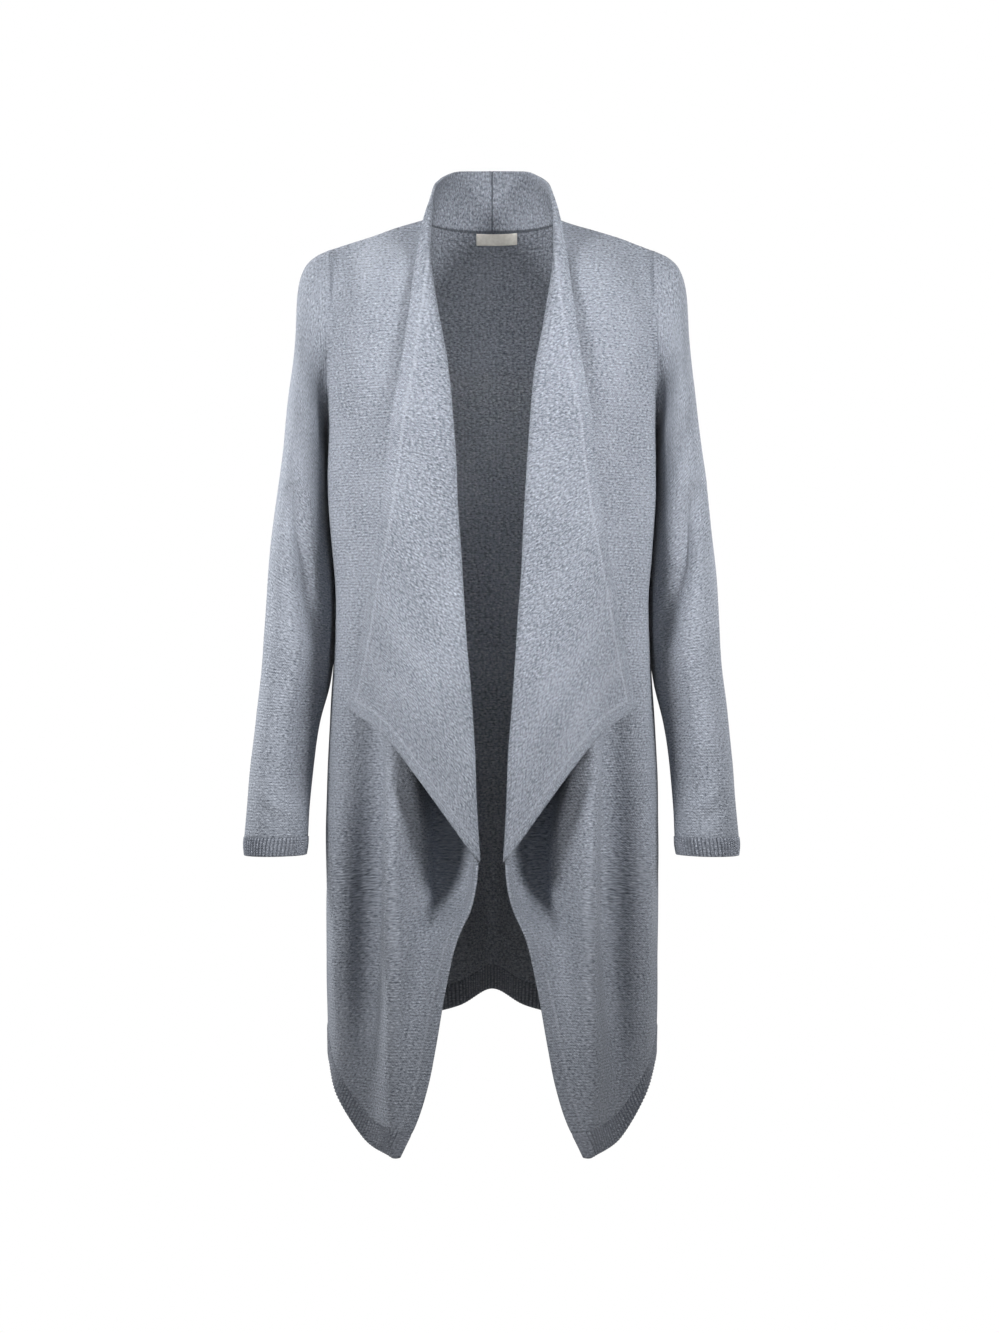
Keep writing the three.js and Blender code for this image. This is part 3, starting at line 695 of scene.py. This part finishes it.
# Rib of the hem and cuffs: the columns stand in the mesh, so the shader adds only loops, fuzz and painted shade
# in the pits and in the furrows between columns
ribLook = dict(
    faceLook, wale=1.75, course=2.6, grains=0.0, fibre=0.5, relief=0.3, drift=0.5, pitShade=0.4,
    yarn=palette["ribYarn"], ribPitch=4.2,
)
heatherFace = knitMaterial("heather_jersey_face", faceLook)
heatherReverse = knitMaterial("heather_moss_reverse", reverseLook)
heatherRib = knitMaterial("heather_rib", ribLook)
panelKnit = [heatherFace, heatherReverse, heatherFace]
ribKnit = [heatherRib, heatherRib]

satin = dict(
    weft=0.45, warp=0.6, warpHeight=0.5, sheenSize=5.0, sheen=(0.3, 0.7), relief=0.12, strength=0.6,
    roughness=0.55, nap=0.1,
)


def labelMaterial():
    # Close polyester satin, smoother and shinier than the wool. Height is a weft wave plus half a warp wave.
    material, add, flat = newMaterial("woven_label")
    across = add("SeparateXYZ", {0: flat})
    weft = add("Math", {0: across.node.outputs[1], 1: 2 * math.pi / satin["weft"]}, operation="MULTIPLY")
    weft = add("Math", {0: weft}, operation="SINE")
    warp = add("Math", {0: across, 1: 2 * math.pi / satin["warp"]}, operation="MULTIPLY")
    warp = add("Math", {0: warp}, operation="SINE")
    height = add("Math", {0: warp, 1: satin["warpHeight"], 2: weft}, operation="MULTIPLY_ADD")
    # Patches of the two label tints, placed by the sheen noise, are painted sheen of the satin
    share = add("TexNoise", {"Vector": flat, "Scale": 1 / satin["sheenSize"], "Detail": 2.0})
    share = add("MapRange", {"Value": share, "From Min": satin["sheen"][0], "From Max": satin["sheen"][1]},
                **smooth)
    sheenTint = add("Mix", {0: share, 6: linear(palette["labelYarn"]), 7: linear(palette["labelSheenDark"])}, output=2,
               data_type="RGBA")
    bump = add("Bump", {"Height": height, "Strength": satin["strength"],
                        "Distance": satin["relief"] * toMetres})
    shader = add("BsdfPrincipled", {"Base Color": sheenTint, "Normal": bump, "Roughness": satin["roughness"],
                                    "Sheen Weight": satin["nap"]})
    add("OutputMaterial", {"Surface": shader})
    return material


print("materials made")


def place(piece, node, slotName, flat, held, restsOn, area):
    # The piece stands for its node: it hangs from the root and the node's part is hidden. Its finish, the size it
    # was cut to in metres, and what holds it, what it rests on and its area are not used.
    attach(piece, "root")
    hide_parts(node)


# Seams beside an armhole: a narrow ridge of wool, a wider trough, and a ditch of painted shade that is held off
# near the shoulder and a little below the armpit. Pairs are levels at which something starts and is full.
seams = dict(
    shown=(0.08, 0.3), gone=(0.96, 1.04), ridge=0.8, ridgeAt=2, ridgeWidth=2.5, troughAt=10, troughWidth=5.5,
    ditchOff=3, ditchNears=(0.15, 0.6), ditchBelow=0.6, foldsStart=(0, 0.12),
)


def armholeRelief(rows, fromSide, trough):
    # Ridge and trough, each a bell of the distance from the side, shown between shoulder and armpit
    shown = smoothStep(rows, *seams["shown"]) * (1 - smoothStep(rows, *seams["gone"]))
    ridge = shown * seams["ridge"] * bell(fromSide, seams["ridgeAt"], seams["ridgeWidth"])
    return ridge, shown * trough * bell(fromSide, seams["troughAt"], seams["troughWidth"])


def sideDitch(rows, fromSide):
    # Distance from the side, which places the seam's painted shade, plus what holds that shade off
    heldOff = seams["ditchOff"] * (1 - smoothStep(rows, *seams["ditchNears"]))
    return fromSide + heldOff + seams["ditchBelow"] * (rows > 1)


# Fronts: panel and turned lapel in one, the lapel running on round the neck as half the collar
front = dict(
    panelCells=[12, 9, 10, 14, 12], stripCells=[3, 5, 11, 12], collarRows=28, levelRows=[52, 98, 63],
    trough=-2.2, seamPlaces=[0.03, 0.06, 0.11, 0.2], weltPlaces=[0.04, 0.09, 0.15, 0.22], weltHeight=0.9,
    weltWidth=1.7, weltRows=[0.008, 0.018, 0.028, 0.04, 0.055], weltFromNeck=2.6, weltFromCentre=2.4,
    centreDitch=0.2, lapelEnd=2 - 1e-6, noBandOnCollar=40, noBandFrom=(0.1, 0.6), flat=(0.51, 1.09), area=0.25,
)
# Folds of the left front, as x and z along the line, height and width: the drag below the armhole, the strain
# to the armpit, the soft upright rolls beside the lapel and the slow waves of the long skirt
frontFolds = [
    ([[164, -70], [158, -130], [163, -190]], -2.2, 9),
    ([[150, -215], [128, -262], [122, -330]], -1.9, 12),
    ([[163, -235], [150, -300], [152, -380]], 1.6, 11),
    ([[146, -250], [140, -420], [143, -560]], 2.0, 9),
    ([[132, -60], [118, -110], [112, -190]], 1.2, 12),
    ([[158, -420], [150, -520], [156, -640]], -1.5, 10),
    ([[131, -430], [130, -600], [129, -760], [130, -890]], -21, 13),
    ([[103, -560], [102, -700], [103, -850], [106, -950]], 5, 6.5),
    ([[159, -560], [158, -700], [157, -880]], 2.5, 8),
    ([[50, -530], [45, -610], [42, -680], [42, -735]], -34, 13.5),
    ([[88, -560], [83, -620], [76, -680], [64, -735]], 15, 11),
    ([[150, -640], [146, -760], [150, -880]], 1.4, 8),
    ([[96, -690], [94, -780], [100, -870]], 1.3, 9),
    ([[85, -760], [92, -850], [99, -930]], -1.2, 8),
]
lapelFolds = [
    ([[74, -52], [80, -110], [92, -180]], 1.2, 8),
    ([[60, -120], [76, -210], [100, -300]], -1.4, 13),
    ([[45, -180], [62, -290], [70, -400]], 1.6, 15),
    ([[84, -260], [104, -340], [120, -420]], 1.5, 12),
    ([[40, -330], [66, -430], [104, -500]], -1.7, 16),
    ([[30, -430], [58, -520], [96, -560]], 1.6, 14),
    ([[24, -520], [50, -600], [70, -620]], -1.3, 12),
]


def frontPiece(name, side, seed):
    # Panel columns up to base and strip columns after it share one grid, whose unused corners are masked out
    panelPlace = np.union1d(placesBetween(front["panelCells"]), front["seamPlaces"])
    stripPlace = np.union1d(placesBetween(front["stripCells"]), front["weltPlaces"])
    base = len(panelPlace) - 1
    collarAt = np.union1d(np.linspace(-1, 0, front["collarRows"] + 1)[:-1], np.add(front["weltRows"], -1))
    at = np.concatenate([collarAt, placesBetween(front["levelRows"])])
    end = int(np.argmin(np.abs(at - 2)))
    start = len(collarAt)
    grid = np.zeros((len(at), base + len(stripPlace), 3))
    grid[start:, :base + 1] = frontPoints(at[start:], panelPlace)
    grid[:end + 1, base:] = stripPoints(at[:end + 1], stripPlace)
    grid *= sideMirror(side)
    inset(grid, lastRow)
    inset(grid[:, :base], firstColumn)
    inset(grid[start:, :base], firstRow)
    inset(grid[:start + 1, base:], firstRow, firstColumn)

    # Distances along the cloth, which place its flat map, its border and its seams
    across = runAlong(grid, 1)
    down = runAlong(grid, 0)
    across -= across[:, base:base + 1]
    fromSide = across - across[:, :1]
    fromCentre = down[:, base:base + 1]
    toEnd = down[end] - down
    fromEdge = np.full(grid.shape[:2], cloth["farOff"])
    toRim = across[:, -1:] - across
    fromEdge[:end + 1, base:] = np.minimum(toRim, toEnd)[:end + 1, base:]
    plainCollar = front["noBandOnCollar"] * smoothStep(-at[:start, None], *front["noBandFrom"])
    fromEdge[:start, base:] = toRim[:start, base:] + plainCollar
    fromEdge[start:, :base + 1] = np.hypot(across[start:, :base + 1], np.maximum(toEnd[start:, :base + 1], 0))
    courseAt = grid[:, :, 2].copy()
    courseAt[:, base:] = courseAt[:, base:base + 1]
    courseAt[:start, base:] = fromCentre[:start] - down[start, base] + grid[start, base, 2]
    uv = np.stack([across, courseAt], -1)
    rows, columns = np.meshgrid(at, np.arange(grid.shape[1]), indexing="ij")
    cellRow, onStrip = rows[:-1, :-1], columns[:-1, :-1] >= base
    mask = np.where(cellRow < 0, onStrip, (cellRow < front["lapelEnd"]) | ~onStrip)

    # Relief of the border, the armhole seam and the welts at the collar's seams, and the distances that place the
    # seams' painted shade
    ridge, trough = armholeRelief(rows, fromSide, front["trough"])
    onCollar = (rows < 0) & (columns >= base)
    ditches = np.where(onCollar, np.minimum(across, fromCentre + front["centreDitch"]), cloth["farOff"])
    ditches = np.where(columns < base, sideDitch(rows, fromSide), ditches)
    welts = bell(across, front["weltFromNeck"], front["weltWidth"])
    welts = welts + bell(fromCentre, front["weltFromCentre"], front["weltWidth"])
    welt = np.where(onCollar, front["weltHeight"] * welts, 0)
    band = cloth["bandLift"] * (1 - smoothStep(fromEdge, cloth["bandWidth"] - 2, cloth["bandWidth"] + 1))
    onPanel = (columns < base).ravel()
    panelMarks, lapelMarks = uneven(frontFolds, side, seed), uneven(lapelFolds, side, seed + 1)
    settle = smoothStep(rows, *seams["foldsStart"]).ravel()

    def lift(points, normal):
        folds = np.where(onPanel, foldLift(points, normal, panelMarks, -1), 0)
        lapel = np.where(onPanel, 0, -foldLift(points, -normal, lapelMarks, -1))
        return folds * settle + lapel + trough.ravel() + rippleLift(points)

    piece = clothWall(name, grid, uv, panelKnit, mask, flip=side < 0, lift=lift,
                      relief=(band + ridge + welt).ravel(), fromEdge=fromEdge, fromSeam=ditches)
    place(piece, name, "grey_knit", front["flat"], "draped", ["back"], front["area"])


frontPiece("left_front", 1, 11)
frontPiece("right_front", -1, 23)
print("fronts made")

# Back: one panel, with its centre drape
back = dict(
    places=[10, 11, 11, 10, 11], levelRows=[52, 92, 58], neckRows=[0.006, 0.013], seamPlaces=[0.03, 0.07, 0.13],
    trough=-1.8, flat=(0.56, 0.87), area=0.378,
)
backFolds = [
    ([[150, -90], [140, -150], [148, -215]], -2.8, 10),
    ([[152, -230], [120, -290], [96, -380]], -3.4, 14),
    ([[128, -250], [100, -330], [84, -420]], 2.7, 12),
    ([[60, -60], [90, -120], [130, -170]], 1.4, 14),
    ([[110, -430], [104, -520], [112, -640]], -2.8, 12),
    ([[52, -420], [48, -560], [56, -700]], 2.6, 12),
    ([[146, -480], [150, -600], [158, -760]], 2.6, 11),
    ([[92, -600], [104, -720], [108, -830]], -2.6, 11),
    ([[20, -60], [22, -150], [14, -260]], -1.8, 14),
    ([[24, -520], [18, -640], [24, -790]], -2.4, 11),
]


def wholeBack(half):
    # Half a back with its mirror image, which share the centre column
    return np.concatenate([half, half[:, -2::-1] * sideMirror(-1)], 1)


def backPiece():
    # One grid from side to side, its flat map measured from the centre
    halfPlace = np.union1d(placesBetween(back["places"]), back["seamPlaces"])
    level = np.union1d(placesBetween(back["levelRows"]), back["neckRows"])
    grid = wholeBack(backPoints(level, halfPlace))
    inset(grid, firstRow, lastRow, firstColumn, lastColumn)
    across = runAlong(grid, 1)
    middle = len(halfPlace) - 1
    fromSide = np.minimum(across, across[:, -1:] - across)
    across -= across[:, middle:middle + 1]
    uv = np.stack([across, grid[:, :, 2]], -1)
    rows = np.repeat(level[:, None], grid.shape[1], 1)
    ridge, trough = armholeRelief(rows, fromSide, back["trough"])
    # Distances from the neck seam and the sides, which place the seams' painted shade
    underNeck = np.abs(np.arange(grid.shape[1]) - middle) <= sum(back["places"][3:])
    fromNeck = np.where(underNeck, runAlong(grid, 0), cloth["farOff"])
    ditches = np.minimum(fromNeck, sideDitch(rows, fromSide))
    marks = uneven(backFolds, 1, 31) + uneven(backFolds, -1, 37)
    settle = smoothStep(rows, *seams["foldsStart"]).ravel()

    def lift(points, normal):
        return foldLift(points, normal, marks, 1) * settle + trough.ravel() + rippleLift(points)

    piece = clothWall("back", grid, uv, panelKnit, flip=True, lift=lift,
                      relief=ridge.ravel(), fromSeam=ditches)
    place(piece, "back", "grey_knit", back["flat"], "draped", ["left_front", "right_front"], back["area"])


backPiece()
print("back made")

# Sleeves: rings from the armhole to the cuff. Beside the body, heights and depths are those of the table that
# holds the body's side, each as start, end and step, and pairs say where a change starts and is full.
sleeve = dict(
    around=84, ringsBetween=10, extraRings=[0.04, 0.2, 0.3], ridge=0.9, ridgeTurn=(0.12, 0.6),
    foldsStart=(4, 22), rippleShare=1.2, heights=(-225, -501, -5), depths=(-80, 81, 2), clearance=4.0,
    ease=0.7, fromArmhole=(1, 14), belowArmpit=(222, 232), flat=(0.29, 0.64), area=0.1375,
)
# Left sleeve as seen from the front: elbow hollow, the ridge beside it, drags from the armpit, and small
# folds at the cuff
sleeveFoldsFront = [
    ([[212, -282], [206, -325], [199, -362], [190, -405], [184, -455]], -12, 10),
    ([[199, -255], [192, -310], [187, -365]], 3.5, 8),
    ([[186, -400], [186, -450], [196, -540], [203, -625]], -7, 11),
    ([[232, -250], [230, -300], [236, -350]], 1.4, 13),
    ([[222, -190], [200, -235], [188, -262]], -1.8, 8),
    ([[214, -160], [192, -205], [180, -236]], 1.5, 8),
    ([[206, -395], [201, -440], [205, -500]], 1.8, 10),
    ([[233, -380], [231, -430], [240, -480]], -1.5, 11),
    ([[222, -470], [212, -510], [214, -560]], -1.9, 9),
    ([[238, -560], [222, -592], [206, -612]], -1.6, 6),
    ([[242, -590], [228, -612], [212, -628]], 1.4, 5.5),
    ([[246, -612], [230, -630], [214, -641]], -1.1, 5),
]
sleeveFoldsBack = [
    ([[196, -250], [206, -310], [214, -380]], -2.6, 11),
    ([[222, -270], [226, -330], [230, -400]], 1.9, 12),
    ([[190, -220], [204, -262], [222, -290]], 1.7, 9),
    ([[186, -330], [206, -372], [230, -392]], -2.4, 8),
    ([[188, -372], [208, -405], [234, -420]], -1.9, 7),
    ([[206, -450], [212, -510], [216, -580]], -1.6, 10),
    ([[206, -600], [224, -616], [244, -622]], 1.3, 6),
]


def sleeveRings(rows, where):
    # Rings at places between the rows, counted in rows
    return smoothRows(np.column_stack([np.arange(len(rows)), rows]), where)


def tubeUv(grid):
    # Distance round each ring, closed by a last column, and the mean distance down the tube
    closed = np.concatenate([grid, grid[:, :1]], 1)
    around = runAlong(closed, 1)
    down = runAlong(grid, 0).mean(1)
    return np.stack([around, np.repeat(-down[:, None], around.shape[1], 1)], -1)


def besideBody(grid):
    # Below the armpit the sleeve lies flat against the side of the body and doesn't pass into it. The side's
    # x is tabled by height and depth and read between its four nearest entries. Points nearer than the
    # clearance move out by ease times the log of one plus e to the missing distance over ease, which starts
    # softly.
    heights = np.arange(*sleeve["heights"], dtype=float)
    depths = np.arange(*sleeve["depths"], dtype=float)
    lines = [frontLines[2], frontLines[1], sideLine, backLines[1], backLines[2]]
    points = np.array([np.column_stack([smoothRows(line["path"], heights), heights]) for line in lines])
    sections = through(points, np.linspace(0, len(lines) - 1, len(depths)))
    table = np.array([np.interp(depths, section[:, 1], section[:, 0]) for section in sections])
    row = np.clip((grid[:, :, 2] - heights[0]) / sleeve["heights"][2], 0, len(heights) - 1.001)
    column = np.clip((grid[:, :, 1] - depths[0]) / sleeve["depths"][2], 0, len(depths) - 1.001)
    i, j = row.astype(int), column.astype(int)
    down, along = row - i, column - j
    upper = (1 - along) * table[i, j] + along * table[i, j + 1]
    lower = (1 - along) * table[i + 1, j] + along * table[i + 1, j + 1]
    push = (1 - down) * upper + down * lower + sleeve["clearance"] - grid[:, :, 0]
    shift = sleeve["ease"] * np.logaddexp(0, push / sleeve["ease"])
    shift *= smoothStep(runAlong(grid, 0), *sleeve["fromArmhole"])
    grid[:, :, 0] += shift * smoothStep(-grid[:, :, 2], *sleeve["belowArmpit"])
    return grid


def sleevePiece(name, side, seed):
    # Rings joined to a tube, the seam's ridge a bell of the distance from the armhole on its lower part
    turn = np.linspace(0, 2 * math.pi, sleeve["around"], endpoint=False)
    where = np.union1d(placesBetween([sleeve["ringsBetween"]] * (len(sleeveRows) - 1)), sleeve["extraRings"])
    grid = besideBody(ringPoints(sleeveRings(sleeveRows, where), turn))
    grid *= sideMirror(side)
    inset(grid, firstRow, lastRow)
    uv = tubeUv(grid)
    fromSeam = -uv[:, :-1, 1]
    belowShoulder = smoothStep(1 - np.cos(turn), *sleeve["ridgeTurn"])[None]
    ridge = belowShoulder * sleeve["ridge"] * bell(fromSeam, seams["ridgeAt"], seams["ridgeWidth"])
    settle = smoothStep(fromSeam, *sleeve["foldsStart"]).ravel()
    frontMarks, backMarks = uneven(sleeveFoldsFront, side, seed), uneven(sleeveFoldsBack, side, seed + 1)

    def lift(points, normal):
        folds = foldLift(points, normal, frontMarks, -1) + foldLift(points, normal, backMarks, 1)
        return folds * settle + rippleLift(points) * sleeve["rippleShare"]

    piece = clothWall(name, grid, uv, panelKnit, wrap=True, flip=side < 0,
                      lift=lift, relief=ridge.ravel())
    owner = name.replace("sleeve", "front")
    place(piece, name, "grey_knit", sleeve["flat"], "hung", ["back", owner], sleeve["area"])


sleevePiece("left_sleeve", 1, 41)
sleevePiece("right_sleeve", -1, 53)
print("sleeves made")

# Ribs: 1x1 rib, one column each 4.2 mm, standing on both faces. A hem's rib runs from level 3 to level 4.
rib = dict(pitch=4.2, height=0.8, perColumn=6, rows=9, samples=1200, levels=(3, 4), plainEdge=9)
cuff = dict(flat=(0.215, 0.0187), area=0.0039)
backHem = dict(flat=(0.56, 0.0245), area=0.0137)
frontHem = dict(flat=(0.17, 0.020), area=0.00338)


def evenPlaces(pointsAt, last):
    # Places that lie evenly along a line, a whole number of rib columns in all
    fine = np.linspace(0, last, rib["samples"])
    run = runAlong(pointsAt(fine)[None], 1)[0]
    count = int(round(run[-1] / rib["pitch"])) * rib["perColumn"]
    return np.interp(np.linspace(0, run[-1], count + 1), run, fine)


def ribRelief(along, fade=1.0):
    # Height times the cosine of the way along, one turn for each column
    return rib["height"] * fade * np.cos(2 * math.pi * along / rib["pitch"])


def hemPiece(name, side):
    # The front carried on from its rib level to its hem, its columns counted from the free edge
    middle = np.array([np.mean(rib["levels"])])
    places = evenPlaces(lambda where: frontPoints(middle, where)[0], len(frontLines) - 1)
    grid = frontPoints(np.linspace(*rib["levels"], rib["rows"]), places) * sideMirror(side)
    inset(grid, firstRow, firstColumn)
    across = runAlong(grid, 1)
    fromEdge = across[:, -1:] - across
    uv = np.stack([fromEdge, grid[:, :, 2]], -1)
    fade = smoothStep(fromEdge, rib["plainEdge"], cloth["bandWidth"])
    relief = ribRelief(fromEdge, fade) + cloth["bandLift"] * (1 - fade)
    piece = clothWall(name, grid, uv, ribKnit, flip=side < 0, lift=rippleLift,
                      relief=relief.ravel(), fromEdge=fromEdge)
    owner = name.replace("hem_rib", "front")
    place(piece, name, "grey_rib", frontHem["flat"], "hung", [owner], frontHem["area"])


def backHemPiece():
    # The back carried on from its rib level to its hem, its columns counted from the centre
    middle = np.array([np.mean(rib["levels"])])
    places = evenPlaces(lambda where: backPoints(middle, where)[0], len(backLines) - 1)
    grid = wholeBack(backPoints(np.linspace(*rib["levels"], rib["rows"]), places))
    inset(grid, firstRow, firstColumn, lastColumn)
    across = runAlong(grid, 1)
    across -= across[:, len(places) - 1:len(places)]
    uv = np.stack([across, grid[:, :, 2]], -1)
    piece = clothWall("back_hem_rib", grid, uv, ribKnit, flip=True, lift=rippleLift,
                      relief=ribRelief(across).ravel())
    place(piece, "back_hem_rib", "grey_rib", backHem["flat"], "hung", ["back"], backHem["area"])


def cuffPiece(name, side):
    # Rings with a whole number of rib columns round them
    count = int(round(cuff["flat"][0] / toMetres / rib["pitch"])) * rib["perColumn"]
    turn = np.linspace(0, 2 * math.pi, count, endpoint=False)
    grid = ringPoints(sleeveRings(cuffRows, np.linspace(0, len(cuffRows) - 1, rib["rows"])), turn)
    grid *= sideMirror(side)
    inset(grid, firstRow)
    uv = tubeUv(grid)
    columnRun = np.linspace(0, count / rib["perColumn"] * rib["pitch"], count + 1)
    uv[:, :, 0] = columnRun
    along = np.repeat(columnRun[None, :-1], rib["rows"], 0)
    piece = clothWall(name, grid, uv, ribKnit, wrap=True, flip=side < 0,
                      lift=lambda points, normal: rippleLift(points) * sleeve["rippleShare"],
                      relief=ribRelief(along).ravel())
    place(piece, name, "grey_rib", cuff["flat"], "hung", [name.replace("cuff", "sleeve")], cuff["area"])


cuffPiece("left_cuff", 1)
cuffPiece("right_cuff", -1)
backHemPiece()
hemPiece("left_hem_rib", 1)
hemPiece("right_hem_rib", -1)
print("ribs made")

# Neck label, sewn inside the back below the neck seam, its face left bare. Places and levels are those of the
# part of the back that it lies on, each as start, end and number.
label = dict(
    width=44, height=13, thickness=0.8, centreX=5, below=2, clear=0.3, rows=9, columns=26, places=(4, 6, 81),
    levels=(0, 0.45, 60), flat=(0.044, 0.013), area=0.044 * 0.013,
)


def labelPiece():
    # Points of the back's middle surface at the label's own x and distance below the seam, moved to its inner
    # face
    wall = backPoints(np.linspace(*label["levels"]), np.linspace(*label["places"]))
    down = runAlong(wall, 0)
    x = label["centreX"] + label["width"] * np.linspace(0.5, -0.5, label["columns"])
    depth = label["below"] + label["height"] * np.linspace(0, 1, label["rows"])
    atX = np.stack([[np.interp(-x, -row[:, 0], row[:, k]) for row in wall] for k in range(3)], -1)
    downX = np.array([np.interp(-x, -row[:, 0], run) for row, run in zip(wall, down)])
    wallRow = np.stack([np.interp(depth, run, np.arange(len(wall))) for run in downX.T], 1)
    above = np.minimum(wallRow.astype(int), len(wall) - 2)
    share = (wallRow - above)[..., None]
    column = np.arange(len(x))
    grid = (1 - share) * atX[above, column] + share * atX[above + 1, column]
    quads = gridQuads(len(depth), len(x), flip=True)[0]
    outward = normalsOf(grid.reshape(-1, 3), quads).reshape(grid.shape)
    grid -= outward * ((cloth["thickness"] + label["thickness"]) / 2 + label["clear"])
    uv = np.stack([np.repeat(x[None], len(depth), 0), np.repeat(-depth[:, None], len(x), 1)], -1)
    piece = clothWall("neck_label", grid, uv, [labelMaterial()] * 2, flip=True, thickness=label["thickness"],
                      lift=rippleLift)
    place(piece, "neck_label", "woven_label", label["flat"], "laid", ["back"], label["area"])


labelPiece()
print("label made")

# Studio: dim room with a white lit wall behind, a pale floor well below the hanging garment, and soft lamps
# high in front
studio = dict(
    room=0.27, wall=1.0, wallAngle=18, wallFade=34, floorHeight=-1500, floorRadius=1100, floorCorners=96,
    floorRoughness=0.7, floor="#e2ddd6",
)
lamps = [
    dict(name="keyLeft", place=(-1640, -1400, 420), aim=(0, 0, -390), size=560, power=2.85, spread=33),
    dict(name="keyRight", place=(1640, -1400, 420), aim=(0, 0, -390), size=560, power=2.75, spread=33),
    dict(name="front", place=(0, -2300, 1500), aim=(0, 0, -190), size=400, power=0.19, spread=14),
    dict(name="neck", place=(0, -2500, 420), aim=(0, 0, -40), size=320, power=0.085, spread=7),
    dict(name="rearLeft", place=(-1900, 1300, 900), aim=(0, 0, -450), size=600, power=9, spread=60),
    dict(name="rearRight", place=(1500, 1900, 500), aim=(0, 0, -450), size=700, power=4, spread=60),
]


def makeStudio():
    # The room's light grows towards the wall behind, each lamp turns to its aim, and the floor is a disc
    world = bpy.data.worlds.new("studio")
    bpy.context.scene.world = world
    world.use_nodes = True
    tree = world.node_tree
    behind = addNode(tree, "SeparateXYZ", {0: addNode(tree, "TexCoord", output="Generated")}, output=1)
    glow = addNode(tree, "MapRange", {
        "Value": behind, "From Min": math.cos(math.radians(studio["wallFade"])),
        "From Max": math.cos(math.radians(studio["wallAngle"])), "To Min": studio["room"],
        "To Max": studio["wall"],
    }, **smooth)
    surroundings = tree.nodes["Background"]
    surroundings.inputs["Color"].default_value = (1, 1, 1, 1)
    tree.links.new(glow, surroundings.inputs["Strength"])
    for lamp in lamps:
        data = bpy.data.lights.new(lamp["name"], "AREA")
        data.shape = "DISK"
        data.size = lamp["size"] * toMetres
        data.energy = lamp["power"]
        data.spread = math.radians(lamp["spread"])
        light = bpy.data.objects.new(lamp["name"], data)
        bpy.context.scene.collection.objects.link(light)
        start = np.array(lamp["place"]) * toMetres
        aim = np.array(lamp["aim"]) * toMetres - start
        light.location = start
        pitch = math.atan2(math.hypot(aim[0], aim[1]), -aim[2])
        light.rotation_euler = (pitch, 0, math.atan2(-aim[0], aim[1]))
    turn = np.linspace(0, 2 * math.pi, studio["floorCorners"], endpoint=False)
    disc = np.stack([np.cos(turn), np.sin(turn), np.zeros(len(turn))], 1) * studio["floorRadius"]
    disc[:, 2] = studio["floorHeight"]
    mesh = bpy.data.meshes.new("floor")
    mesh.from_pydata((disc * toMetres).tolist(), [], [list(range(len(turn)))])
    floor = bpy.data.objects.new("floor", mesh)
    bpy.context.scene.collection.objects.link(floor)
    material = bpy.data.materials.new("studio_floor")
    material.use_nodes = True
    surface = material.node_tree.nodes["Principled BSDF"]
    surface.inputs["Base Color"].default_value = linear(studio["floor"])
    surface.inputs["Roughness"].default_value = studio["floorRoughness"]
    mesh.materials.append(material)
    bpy.context.scene.view_settings.view_transform = "Standard"
    bpy.context.scene.view_settings.look = "None"


makeStudio()
print("studio made")
